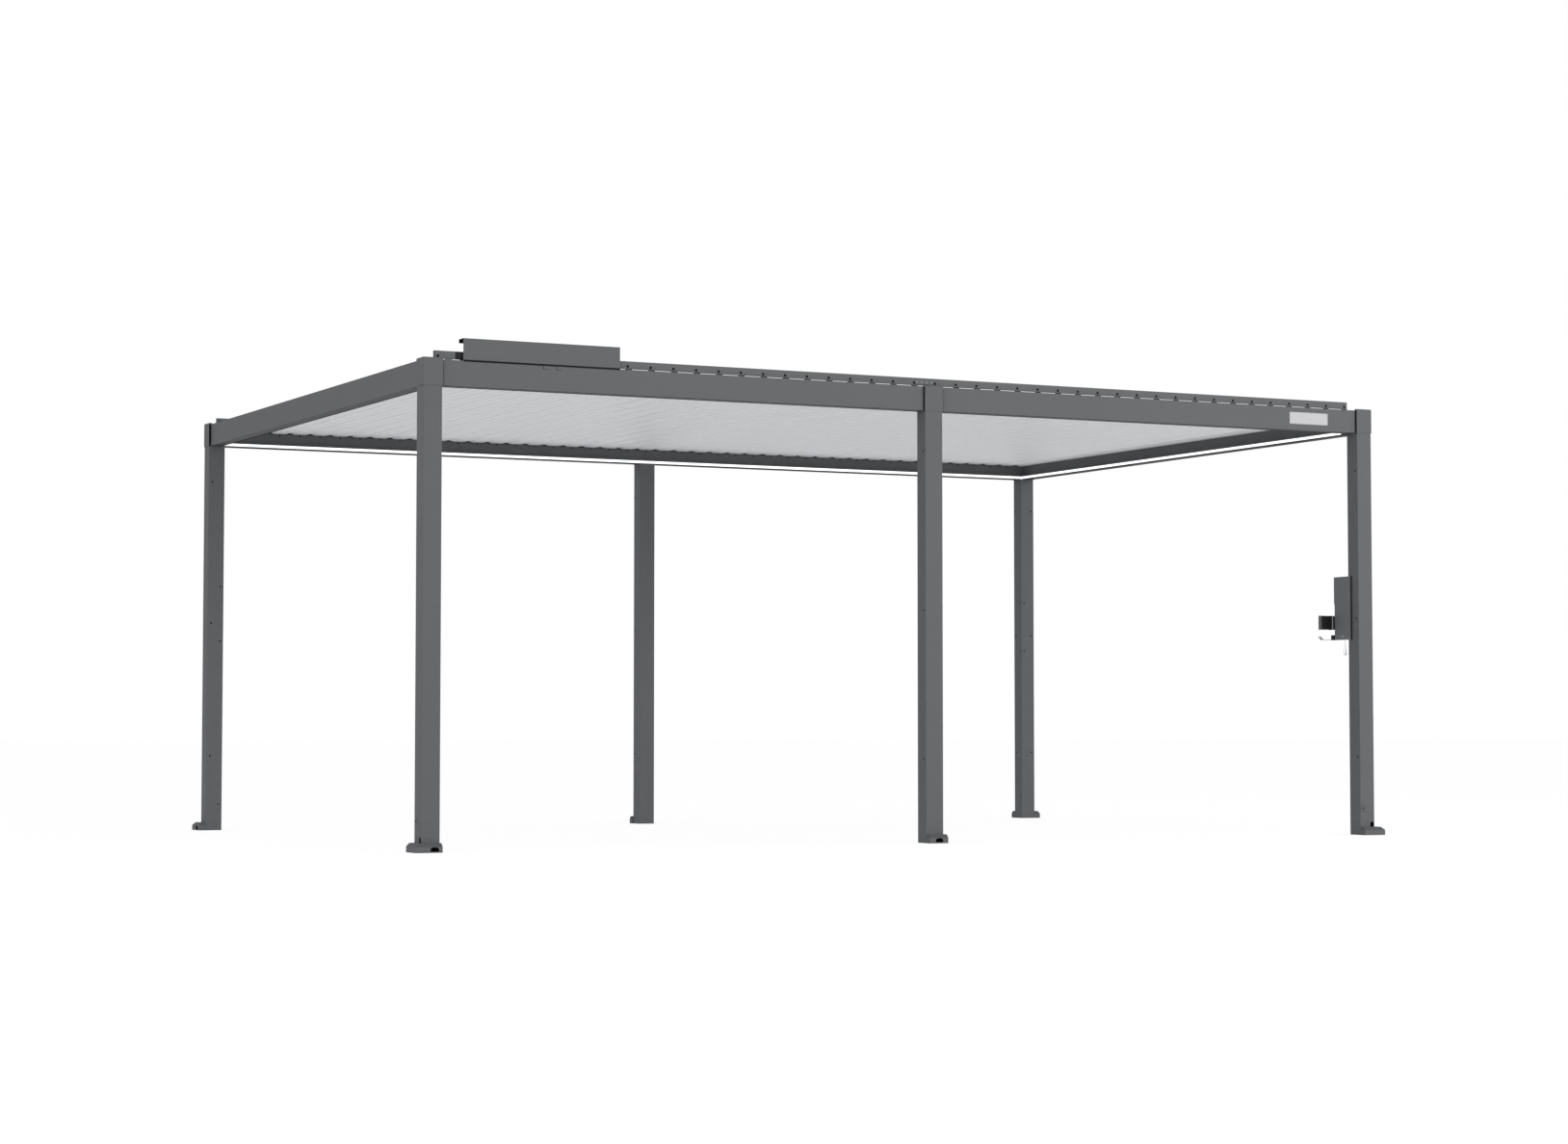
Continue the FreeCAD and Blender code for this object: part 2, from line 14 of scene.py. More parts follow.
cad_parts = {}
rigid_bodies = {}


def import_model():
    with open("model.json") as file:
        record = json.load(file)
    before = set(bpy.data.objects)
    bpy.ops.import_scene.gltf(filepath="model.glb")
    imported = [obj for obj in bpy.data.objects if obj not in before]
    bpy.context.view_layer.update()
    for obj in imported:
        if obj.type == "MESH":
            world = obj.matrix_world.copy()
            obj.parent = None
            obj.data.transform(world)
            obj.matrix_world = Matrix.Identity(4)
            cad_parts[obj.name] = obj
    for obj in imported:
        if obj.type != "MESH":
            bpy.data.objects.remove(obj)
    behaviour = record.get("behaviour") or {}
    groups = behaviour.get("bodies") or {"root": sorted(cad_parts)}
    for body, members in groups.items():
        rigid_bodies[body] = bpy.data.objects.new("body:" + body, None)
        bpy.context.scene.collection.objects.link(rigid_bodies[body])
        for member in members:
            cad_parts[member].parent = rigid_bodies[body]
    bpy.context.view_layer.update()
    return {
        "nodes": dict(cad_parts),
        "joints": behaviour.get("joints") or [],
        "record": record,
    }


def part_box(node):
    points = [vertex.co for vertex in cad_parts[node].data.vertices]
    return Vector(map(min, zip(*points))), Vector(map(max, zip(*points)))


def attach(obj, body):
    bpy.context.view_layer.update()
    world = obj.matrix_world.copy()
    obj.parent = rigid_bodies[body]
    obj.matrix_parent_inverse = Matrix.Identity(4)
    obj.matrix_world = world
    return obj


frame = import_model()

LOG = logging.getLogger("pergola")

Colour = tuple[float, float, float]
Span = tuple[float, float]
Number = "float | Term"
Spot = tuple[Vector, Vector]
Made = list[bpy.types.Object]

FAR = 20.0  # metres, further off than any point of the object
SIGNS = (-1.0, 1.0)
SIDES = (("front", -1.0), ("back", 1.0))
LEFT, FRONT, UP = Vector((-1, 0, 0)), Vector((0, -1, 0)), Vector((0, 0, 1))


def srgb(red: int, green: int, blue: int) -> Colour:
    """A linear colour from 8-bit display values.

    Args:
        red: display value from 0 to 255.
        green: display value from 0 to 255.
        blue: display value from 0 to 255.

    Returns:
        The colour in linear light.
    """
    def linear(value: int) -> float:
        """One channel in linear light."""
        share = value / 255
        return share / 12.92 if share <= 0.04045 else ((share + 0.055) / 1.055) ** 2.4
    return (linear(red), linear(green), linear(blue))


GREY = srgb(101, 102, 104)
# painted shade: near-black for the insides of the posts and of the foot drains
PAINTED_DEEP_SHADE = srgb(8, 8, 9)
# painted shade: dark grey for the insides of the gutters and the drive cover, and along the beams'
# lower inner edge
PAINTED_SHADE = srgb(26, 26, 28)


def operator(operation: str, turned: bool = False) -> "Callable[[Term, Number], Term]":
    """Make a method of Term that adds a Math node.

    Args:
        operation: the node's operation.
        turned: whether the term is the second of the two.

    Returns:
        The method.
    """
    def method(term: "Term", other: Number = 0.0) -> "Term":
        """The node's result, from the term and another one or a number."""
        first, second = (other, term) if turned else (term, other)
        return term.tree.node("ShaderNodeMath", {"operation": operation}, {0: first, 1: second})
    return method


class Term:
    """A socket of a node tree that can stand in a Python expression."""

    def __init__(self, tree: "Tree", socket: bpy.types.NodeSocket | None) -> None:
        """Wrap an output socket, or none for a node without one."""
        self.tree = tree
        self.socket = socket

    __add__ = __radd__ = operator("ADD")
    __sub__ = operator("SUBTRACT")
    __rsub__ = operator("SUBTRACT", turned=True)
    __mul__ = __rmul__ = operator("MULTIPLY")
    __truediv__ = operator("DIVIDE")
    __rtruediv__ = operator("DIVIDE", turned=True)
    __gt__ = operator("GREATER_THAN")
    __lt__ = operator("LESS_THAN")
    __abs__ = operator("ABSOLUTE")
    larger = operator("MAXIMUM")
    fraction = operator("FRACT")

    def __neg__(self) -> "Term":
        """The term with its sign turned."""
        return self * -1.0

    def within(self, span: Span) -> "Term":
        """1 where the term lies in a span."""
        return (self > span[0]) * (self < span[1])

    def around(self, middle: float, spread: float) -> "Term":
        """A term from 0 to 1, spread evenly around a value."""
        return middle - spread + self * (2 * spread)

    def ramp(self, low: float, high: float) -> "Term":
        """A smooth step from 0 to 1, as the term goes from low to high."""
        return self.tree.node("ShaderNodeMapRange", {"interpolation_type": "SMOOTHSTEP"},
                              {0: self, 1: low, 2: high, 3: 0.0, 4: 1.0})


class Tree:
    """The node tree of a material or of the world."""

    def __init__(self, owner: bpy.types.Material | bpy.types.World,
                 end: str = "ShaderNodeOutputMaterial") -> None:
        """Start an empty tree.

        Args:
            owner: the material or the world.
            end: the type of its output node.
        """
        owner.use_nodes = True
        self.owner = owner
        self.end = end
        self.nodes = owner.node_tree.nodes
        self.links = owner.node_tree.links
        self.nodes.clear()
        self._place: dict[str, Term] = {}

    def node(self, kind: str, settings: dict | None = None, inputs: dict | None = None,
             output: int | str = 0) -> Term:
        """Add any node.

        Args:
            kind: the node's type name.
            settings: the node's own settings, set before its sockets.
            inputs: numbers, colours or terms for its sockets, by place, identifier or name.
            output: the place, identifier or name of the socket that is wanted.

        Returns:
            The wanted output.
        """
        made = self.nodes.new(kind)
        for key, value in (settings or {}).items():
            setattr(made, key, value)
        for key, value in (inputs or {}).items():
            self._feed(self._socket(made.inputs, key), value)
        return Term(self, self._socket(made.outputs, output) if made.outputs else None)

    @staticmethod
    def _socket(sockets: bpy.types.bpy_prop_collection, key: int | str) -> bpy.types.NodeSocket:
        """A socket by place, identifier or name."""
        same = [socket for socket in sockets if socket.identifier == key]
        return same[0] if same else sockets[key]

    def _feed(self, socket: bpy.types.NodeSocket, value: object) -> None:
        """Set a socket to a value, or link a term to it.

        Args:
            socket: the input socket.
            value: a number, a colour or a term.
        """
        if isinstance(value, Term):
            self.links.new(value.socket, socket)
        elif socket.type == "RGBA":
            socket.default_value = (*value, 1.0)
        else:
            socket.default_value = value

    def place(self, axis: str = "") -> Term:
        """Object coordinates, in metres.

        Args:
            axis: X, Y or Z for one of them, or nothing for all three.

        Returns:
            The vector or the number.
        """
        if not self._place:
            whole = self.node("ShaderNodeTexCoord", {}, {}, "Object")
            self._place[""] = whole
            for name in "XYZ":
                self._place[name] = self.node("ShaderNodeSeparateXYZ", {}, {0: whole}, name)
        return self._place[axis]

    def noise(self, scale: float, detail: float = 3.0, roughness: float = 0.55,
              stretch: Colour = (1.0, 1.0, 1.0)) -> Term:
        """Noise on Object coordinates, from 0 to 1.

        Args:
            scale: features per metre.
            detail: octaves.
            roughness: weight of the finer octaves.
            stretch: scale along each axis, for grain.

        Returns:
            The noise.
        """
        vector = self.place()
        if stretch != (1.0, 1.0, 1.0):
            vector = self.node("ShaderNodeMapping", {}, {"Vector": vector, "Scale": stretch})
        return self.node("ShaderNodeTexNoise", {}, {"Vector": vector, "Scale": scale,
                                                    "Detail": detail, "Roughness": roughness})

    def mix(self, share: Number, first: object, second: object) -> Term:
        """Mix two colours.

        Args:
            share: the second colour's share.
            first: a colour or a link.
            second: a colour or a link.

        Returns:
            The mix.
        """
        return self.node("ShaderNodeMix", {"data_type": "RGBA"},
                         {"Factor_Float": share, "A_Color": first, "B_Color": second},
                         "Result_Color")

    def tint(self, colour: Colour | Term, factor: Number) -> Term:
        """A colour times a number."""
        return self.node("ShaderNodeVectorMath", {"operation": "SCALE"},
                         {0: colour, "Scale": factor})

    def bump(self, height: Term, depth: float) -> Term:
        """A normal from a height from 0 to 1, where 1 stands for a depth in metres."""
        return self.node("ShaderNodeBump", {}, {"Height": height, "Distance": depth})

    def seen(self) -> Term:
        """Tell what the camera sees, also by way of gloss or glass.

        Returns:
            1 where it sees the surface, and otherwise 0.
        """
        camera, gloss, glass = (self.node("ShaderNodeLightPath", {}, {}, f"Is {ray} Ray")
                                for ray in ("Camera", "Glossy", "Transmission"))
        return camera.larger(gloss).larger(glass)

    def close(self, shader: Term) -> None:
        """End the tree in a shader."""
        self.node(self.end, {}, {"Surface": shader})


class Slot(Enum):
    """The record's material slots."""

    FRAME = "frame_paint"
    RAIL = "rail_paint"
    LOUVER = "louver_paint"
    LIGHT = "light_diffuser"
    BLACK = "black_plastic"
    MOTOR = "motor_casing"
    PLATE = "plate_metal"
    BOX = "box_paint"
    CHROME = "pull_chrome"


@dataclass(frozen=True)
class Patch:
    """A space in which a finish has a colour of its own."""

    x: Span | None = None  # its span along X, in metres, or None where it has no ends
    y: Span | None = None  # its span along Y
    z: Span | None = None  # its span along Z
    # by default the near-black of painted shade
    colour: Colour = PAINTED_DEEP_SHADE
    mirrored: bool = True  # whether it is the same at all four corners

    def mask(self, tree: Tree) -> Number:
        """Find the space.

        Args:
            tree: the material's tree.

        Returns:
            1 inside and 0 outside.
        """
        mask = 1.0
        for axis, span in (("X", self.x), ("Y", self.y), ("Z", self.z)):
            if span is not None:
                place = tree.place(axis)
                if self.mirrored and axis != "Z":
                    place = abs(place)
                mask = place.within(span) * mask
        return mask


@dataclass(frozen=True)
class Finish:
    """What all finishes share."""

    name: str
    colour: Colour
    roughness: float = 0.5  # the mean roughness
    gloss: float = 0.5  # how strongly it reflects
    depth: float = 0.00004  # height of its texture, in metres
    patches: tuple[Patch, ...] = ()  # a later one covers an earlier one
    patch_roughness: float = 0.0  # how much rougher it is in them

    def patched(self, tree: Tree, colour: Colour | Term, rough: Number) -> dict[str, object]:
        """Lay the patches over a colour.

        Args:
            tree: the material's tree.
            colour: the colour outside the patches.
            rough: the roughness outside them.

        Returns:
            The shader's colour and roughness.
        """
        for patch in self.patches:
            mask = patch.mask(tree)
            colour = tree.mix(mask, colour, patch.colour)
            rough = rough + mask * self.patch_roughness
        return {"Base Color": colour, "Roughness": rough}

    def sockets(self, tree: Tree) -> dict[str, object]:
        """The shader's sockets, by name; each finish has its own."""
        raise NotImplementedError

    def build(self) -> bpy.types.Material:
        """Make the material.

        Returns:
            The material.
        """
        tree = Tree(bpy.data.materials.new(self.name))
        inputs = {**self.sockets(tree), "Specular IOR Level": self.gloss}
        tree.close(tree.node("ShaderNodeBsdfPrincipled", {}, inputs))
        return tree.owner


@dataclass(frozen=True)
class PowderCoat(Finish):
    """A fine-textured powder coat."""

    roughness: float = 0.62
    gloss: float = 0.15
    depth: float = 0.00006
    patch_roughness: float = 0.3
    grain: float = 0.0011  # size of the texture, in metres
    drift: float = 0.03  # share by which the colour drifts over a metre or so
    speckle: float = 0.015  # share by which it changes from grain to grain
    uneven: float = 0.04  # how much the roughness varies
    band: Span = (0.0, 0.0)  # the heights between which painted shade darkens the coat, in metres
    painted_shade_share: float = 1.0  # the share of the colour that the painted shade leaves in the band

    def sockets(self, tree: Tree) -> dict[str, object]:
        """The shader's sockets.

        Args:
            tree: the material's tree.

        Returns:
            Its inputs, by name.
        """
        drift = tree.noise(scale=0.9, detail=2.0).around(1.0, self.drift)
        speckle = tree.noise(scale=1 / self.grain, detail=2.0).around(1.0, self.speckle)
        shade = drift * speckle
        # painted shade: the coat is darker between the band's heights
        if self.painted_shade_share != 1.0:
            shade = shade * (1 - tree.place("Z").within(self.band) * (1 - self.painted_shade_share))
        height = tree.noise(scale=0.7 / self.grain, roughness=0.6)
        rough = tree.noise(scale=6.0).around(self.roughness, self.uneven)
        return {**self.patched(tree, tree.tint(self.colour, shade), rough),
                "Normal": tree.bump(height, self.depth)}


@dataclass(frozen=True)
class LouverCoat(Finish):
    """The off-white coat of the blades."""

    roughness: float = 0.42
    gloss: float = 0.28
    patch_roughness: float = 0.1
    first_axis: float = 0.0  # the first blade's axis along X
    pitch: float = 1.0
    seam: float = 0.0028  # half the width of the open seam between two undersides
    seam_shade: float = 0.04  # how much painted shade darkens the coat at the seam
    streaks: Colour = (14.0, 0.35, 14.0)  # scale of the streaks along each axis

    def sockets(self, tree: Tree) -> dict[str, object]:
        """The shader's sockets.

        Args:
            tree: the material's tree.

        Returns:
            Its inputs, by name.
        """
        drift = tree.noise(scale=0.7, detail=2.0)
        streak = tree.noise(scale=3.0, roughness=0.5, stretch=self.streaks)
        across = ((tree.place("X") - self.first_axis) / self.pitch + 1.0).fraction()
        to_seam = abs(across - 0.5) * self.pitch
        open_seam = 1 - to_seam.ramp(self.seam, 3 * self.seam)
        # painted shade at the open seams between the blades
        shade = (0.97 + drift * 0.03 + streak * 0.02) * (1 - open_seam * self.seam_shade)
        height = tree.noise(scale=850.0, detail=2.0)
        return {**self.patched(tree, tree.tint(self.colour, shade),
                               self.roughness + streak * 0.08),
                "Normal": tree.bump(height, self.depth)}


@dataclass(frozen=True)
class Diffuser(Finish):
    """A lit opal strip; its patches are blank covers."""

    light: Colour = (1.0, 1.0, 1.0)
    strength: float = 1.2  # its brightness, where 1 is white
    uneven: float = 0.03  # share by which it varies

    def sockets(self, tree: Tree) -> dict[str, object]:
        """The shader's sockets.

        Args:
            tree: the material's tree.

        Returns:
            Its inputs, by name.
        """
        glow = tree.noise(scale=5.0, detail=2.0).around(1.0, self.uneven)
        lit = glow
        for patch in self.patches:
            lit = lit * (1 - patch.mask(tree))
        return {**self.patched(tree, tree.tint(self.colour, glow), self.roughness),
                "Emission Color": tree.tint(self.light, lit),
                "Emission Strength": self.strength}


@dataclass(frozen=True)
class BrushedMetal(Finish):
    """Metal brushed along X."""

    depth: float = 0.00003
    metallic: float = 1.0  # share of metal against paint
    uneven: float = 0.05  # how much the roughness varies
    brush: Colour = (12.0, 900.0, 900.0)  # scale of the brush marks along each axis

    def marks(self, tree: Tree) -> Term:
        """The brush marks, from 0 to 1."""
        return tree.noise(scale=1.0, detail=4.0, roughness=0.6, stretch=self.brush)

    def sockets(self, tree: Tree) -> dict[str, object]:
        """The shader's sockets.

        Args:
            tree: the material's tree.

        Returns:
            Its inputs, by name.
        """
        marks = self.marks(tree)
        shade = 0.93 + marks * 0.1 + tree.noise(scale=30.0, detail=2.0) * 0.04
        return {**self.patched(tree, tree.tint(self.colour, shade),
                               marks.around(self.roughness, self.uneven)),
                "Metallic": self.metallic, "Normal": tree.bump(marks, self.depth)}


@dataclass(frozen=True)
class BorderedPlate(BrushedMetal):
    """A brushed and lacquered plate with a fine engraved line inside its edge, and painted shade
    along its rim.
    """

    roughness: float = 0.65
    gloss: float = 0.2
    depth: float = 0.0001
    metallic: float = 0.0
    line_and_rim_shade_colour: Colour = GREY
    centre: Span = (0.0, 0.0)  # the plate's middle, along X and Z
    half: Span = (0.1, 0.1)  # half its length and half its height
    inset: float = 0.0035  # from the plate's edge to the line
    line: float = 0.0008
    rim: float = 0.0012  # width of the rim darkened with painted shade

    def sockets(self, tree: Tree) -> dict[str, object]:
        """The shader's sockets.

        Args:
            tree: the material's tree.

        Returns:
            Its inputs, by name.
        """
        marks = self.marks(tree)
        across = abs(tree.place("X") - self.centre[0]) - self.half[0]
        up = abs(tree.place("Z") - self.centre[1]) - self.half[1]
        edge = -across.larger(up)
        engraved = edge.within((self.inset, self.inset + self.line))
        # painted shade along the plate's rim, in the line's colour
        rim = 1 - edge.ramp(0.0, self.rim)
        colour = tree.mix(engraved.larger(rim), tree.tint(self.colour, marks.around(1.0, 0.04)),
                          self.line_and_rim_shade_colour)
        return {**self.patched(tree, colour, marks.around(self.roughness, self.uneven)),
                "Metallic": self.metallic,
                "Normal": tree.bump(marks * 0.2 + 1 - engraved, self.depth)}


@dataclass(frozen=True)
class MouldedPlastic(Finish):
    """Moulded plastic with a fine spark texture."""

    wear: float = 0.05  # share by which its colour varies
    uneven: float = 0.05  # how much the roughness varies

    def sockets(self, tree: Tree) -> dict[str, object]:
        """The shader's sockets.

        Args:
            tree: the material's tree.

        Returns:
            Its inputs, by name.
        """
        wear = tree.noise(scale=18.0)
        inputs = self.patched(tree, self.colour, wear.around(self.roughness, self.uneven))
        return {**inputs,
                "Base Color": tree.tint(inputs["Base Color"], wear.around(1.0, self.wear)),
                "Normal": tree.bump(tree.noise(scale=1600.0, detail=2.0), self.depth)}


@dataclass(frozen=True)
class Layout:
    """The planes that the finishes and the small pieces keep to, in metres."""

    post: Vector  # the corner posts' furthest corner
    beam_low: Vector  # the beams' lower inner edge
    beam_high: Vector  # the beams' upper outer edge
    rail: Vector  # the link rails' furthest corner
    axes: tuple[float, ...]  # the blades' axes along X
    axis_z: float
    post_side: float = 0.1  # side of the corner posts
    middle_post_half: float = 0.0535  # half the middle posts' width
    corner_cap: float = 0.103  # from a corner post's outer face to its cap's inner end
    middle_cap_half: float = 0.0565  # half the middle caps' width
    gutter: float = 0.047  # width of the gutters
    sheet: float = 0.0025  # thickness of their sheet
    light_box: float = 0.028  # from the beams' lower edge to the gutters' floor
    arm_side: float = 0.045  # from an axis back, and up, to its pin
    splice: float = 0.003  # how far the rails' joint plates stand proud
    louver_end_gap: float = 0.005  # from the gutter's wall to the blades
    louver_cap: float = 0.004  # thickness of the blades' end caps
    foot_reach: float = 0.044  # from a post's face to its foot cover's face

    @classmethod
    def read(cls) -> "Layout":
        """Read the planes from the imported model.

        Returns:
            The layout.
        """
        pivots = [joint for joint in frame["joints"] if joint["parent"] == "frame"]
        low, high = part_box("front_beams")
        outer = Vector((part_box("side_beams")[1].x, -low.y, high.z))
        inner = Vector((outer.x - (high.y - low.y), -high.y, low.z))
        return cls(post=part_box("corner_posts")[1], beam_low=inner, beam_high=outer,
                   rail=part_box("link_rails")[1],
                   axes=tuple(sorted(joint["pos_m"][0] for joint in pivots)),
                   axis_z=pivots[0]["pos_m"][2])

    @property
    def pitch(self) -> float:
        """From one blade's axis to the next."""
        return (self.axes[-1] - self.axes[0]) / (len(self.axes) - 1)

    @property
    def pins(self) -> tuple[float, ...]:
        """The pins' places along X, blades closed."""
        return tuple(x - self.arm_side for x in self.axes)

    @property
    def pin_z(self) -> float:
        """The pins' height, blades closed."""
        return self.axis_z + self.arm_side

    @property
    def gutter_wall(self) -> float:
        """The gutter wall's face towards the blades, along Y."""
        return self.beam_high.y - self.gutter

    @property
    def louver_end(self) -> float:
        """The blades' ends along Y."""
        return self.gutter_wall - self.louver_end_gap


@dataclass(frozen=True)
class FootDrains:
    """Sizes of the drains in the foot covers, in metres."""

    half: float = 0.0235  # half their width
    sill: float = 0.006  # height of their lower edge
    top: float = 0.029  # height of their upper edge
    depth: float = 0.032
    offset: float = 0.042  # from the post's inner face to the middle of a corner foot's drain
    middle: float = 0.005  # from the middle of a middle post to its drain's middle

    def across(self, middle: float) -> Span:
        """A drain's span around its middle."""
        return (middle - self.half, middle + self.half)

    def inwards(self, face: float) -> Span:
        """A drain's span behind the face that it opens in."""
        return (face - self.depth, face)


@dataclass(frozen=True)
class Masks:
    """The patches of each finish."""

    layout: Layout  # the planes that they keep to
    edge: float = 0.0015  # how far they stay clear of an outer face
    thin: float = 0.0003  # the same where it has to be close
    painted_lip_shade: float = 0.010  # width of the painted shade along the beams' lower inner edge
    cover_sheet: float = 0.0012  # how far they stay clear of the drive cover's faces
    cover_front: float = 0.0035  # the same for its front
    rail_lead: float = 0.040  # from the cover's left end to where the painted shadow on the rail starts
    rail_tail: float = 0.010  # from the cover's right end back to where that stops
    lit_from: float = -1.801  # where the lit part of the right strip starts, along Y
    band: Span = (0.016, 0.161)  # width and height of the dark band on the control box
    console_end: float = 0.0935  # from the box's face to the console's end plate
    console_ring: Span = (0.0175, 0.0095)  # from there to the far and to the near side of its ring
    console_holder: float = 0.006  # from there to the tray
    tray_top: float = 1.19  # the height under which the console is all tray and holder

    def posts(self) -> tuple[Patch, ...]:
        """The insides of the corner posts, painted near-black as the shade inside the tubes.

        Returns:
            The patches.
        """
        across, along = ((outer - self.layout.post_side + self.edge, outer - self.edge)
                         for outer in self.layout.post.xy)
        return (Patch(across, along, (0.0, self.layout.beam_low.z)),)

    def drains(self) -> tuple[Patch, ...]:
        """The insides of the drains in the foot covers, painted near-black as shade.

        Returns:
            The patches.
        """
        drain, post = FootDrains(), self.layout.post
        face_x, face_y = (outer + self.layout.foot_reach - self.edge for outer in post.xy)
        aside = self.layout.post_side - drain.offset
        height = (drain.sill - self.edge, drain.top)
        return (Patch(drain.across(drain.middle), drain.inwards(face_y), height),
                Patch(drain.across(post.x - aside), drain.inwards(face_y), height),
                Patch(drain.inwards(face_x), drain.across(post.y - aside), height))

    def beams(self) -> tuple[Patch, ...]:
        """The insides of the gutters, and a strip along the beams' lower inner edge, both darkened
        with painted shade.

        Returns:
            The patches.
        """
        low, high = self.layout.beam_low, self.layout.beam_high
        near, far = self.layout.gutter - self.thin, self.layout.sheet / 3
        height = (low.z + self.layout.light_box + self.thin, high.z - self.thin)
        foot = (low.z - self.thin, low.z + self.edge)
        return (Patch((high.x - near, high.x - far), (0.0, high.y), height, PAINTED_SHADE),
                Patch((0.0, high.x), (high.y - near, high.y - far), height, PAINTED_SHADE),
                Patch((0.0, low.x), (low.y - self.thin, low.y + self.painted_lip_shade), foot, PAINTED_SHADE),
                Patch((low.x - self.thin, low.x + self.painted_lip_shade), (0.0, low.y), foot, PAINTED_SHADE))

    def cover(self) -> tuple[Patch, ...]:
        """The inside of the drive cover and the strip that it stands on, darkened with painted shade.

        Returns:
            The patches.
        """
        low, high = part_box("motor_cover")
        return (Patch((low.x + self.cover_sheet, high.x - self.cover_sheet),
                      (low.y + self.cover_front, high.y), (low.z, high.z - self.cover_sheet),
                      PAINTED_SHADE, mirrored=False),)

    def rail(self) -> tuple[Patch, ...]:
        """The front rail's length from a little left of the drive cover to near its right end,
        darkened with painted shadow of the cover.

        Returns:
            The patches.
        """
        low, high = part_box("motor_cover")
        return (Patch((low.x - self.rail_lead, high.x - self.rail_tail), (-FAR, 0.0),
                      colour=srgb(44, 44, 46), mirrored=False),)

    def blades(self) -> tuple[Patch, ...]:
        """The blades' end caps and arms."""
        start = self.layout.louver_end - self.layout.louver_cap
        return (Patch(y=(start, FAR), colour=srgb(48, 49, 51)),)

    def strips(self) -> tuple[Patch, ...]:
        """The blank end of the right strip, in front."""
        return (Patch((0.0, FAR), (-FAR, self.lit_from), colour=GREY, mirrored=False),)

    def box(self) -> tuple[Patch, ...]:
        """The dark band along the upper back edge of the control box.

        Returns:
            The patches.
        """
        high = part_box("control_box")[1]
        width, height = self.band
        return (Patch(y=(high.y - width, FAR), z=(high.z - height, FAR),
                      colour=srgb(66, 67, 69), mirrored=False),)

    def console(self) -> tuple[Patch, ...]:
        """The console's end plate, tray and ring.

        Returns:
            The patches.
        """
        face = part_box("control_box")[0].x
        far, near = self.console_ring
        return (Patch((0.0, face - self.console_end), colour=srgb(98, 99, 101),
                      mirrored=False),
                Patch((0.0, face - self.console_holder), z=(0.0, self.tray_top),
                      colour=srgb(168, 169, 171), mirrored=False),
                Patch((face - far, face - near), z=(self.tray_top, FAR),
                      colour=srgb(160, 161, 163), mirrored=False))


class Finishes:
    """All materials, made once."""

    # height of the foot covers' chamfer, which takes painted shade
    foot_chamfer = 0.018

    def __init__(self, layout: Layout) -> None:
        """Make the materials.

        Args:
            layout: the planes that the patches keep to.
        """
        masks = Masks(layout)
        foot_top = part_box("post_feet")[1].z
        self.post = PowderCoat("post_grey", GREY, patches=masks.posts()).build()
        # painted shade on the foot covers' chamfered tops
        self.foot = PowderCoat("foot_grey", GREY, patches=masks.drains(),
                               band=(foot_top - self.foot_chamfer, foot_top + masks.edge),
                               painted_shade_share=0.74).build()
        self.cap = PowderCoat("cap_grey", GREY).build()
        # painted shade on the beams' undersides
        self.beam = PowderCoat("beam_grey", GREY, patches=masks.beams(),
                               band=(0.0, layout.beam_low.z + masks.edge),
                               painted_shade_share=0.42).build()
        self.cover = PowderCoat("cover_grey", GREY, patches=masks.cover()).build()
        # painted shadow of the drive cover on the front rail
        self.rail = PowderCoat("rail_grey", srgb(103, 104, 106), patches=masks.rail()).build()
        self.louver = LouverCoat("louver_white", srgb(247, 249, 252), patches=masks.blades(),
                                 first_axis=layout.axes[0], pitch=layout.pitch).build()
        self.light = Diffuser("lit_strip", srgb(236, 236, 236), patches=masks.strips()).build()
        self.black = MouldedPlastic("black_plastic", srgb(30, 30, 32)).build()
        self.bolt = MouldedPlastic("black_oxide", srgb(12, 12, 13), 0.55, 0.12).build()
        self.rivet = BrushedMetal("dull_rivet", srgb(150, 152, 155), metallic=0.6).build()
        self.motor = PowderCoat("motor_paint", srgb(52, 53, 55), 0.45, grain=0.0008).build()
        self.plate = self._nameplate()
        self.box = PowderCoat("box_grey", srgb(112, 113, 115), 0.6, patches=masks.box(),
                              grain=0.0009).build()
        self.console = MouldedPlastic("console_plastic", srgb(24, 24, 26), 0.55, 0.2,
                                      patches=masks.console(), wear=0.04).build()
        self.chrome = BrushedMetal("polished_metal", srgb(215, 216, 220), 0.14).build()
        self.zinc = BrushedMetal("zinc", srgb(186, 188, 192), 0.35).build()

    @staticmethod
    def _nameplate() -> bpy.types.Material:
        """The nameplate's finish.

        Returns:
            The material, fitted to the plate.
        """
        low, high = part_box("nameplate")
        centre, half = (low + high) / 2, (high - low) / 2
        return BorderedPlate("plate_metal", srgb(198, 198, 200),
                             line_and_rim_shade_colour=srgb(150, 151, 153), centre=(centre.x, centre.z),
                             half=(half.x, half.z)).build()


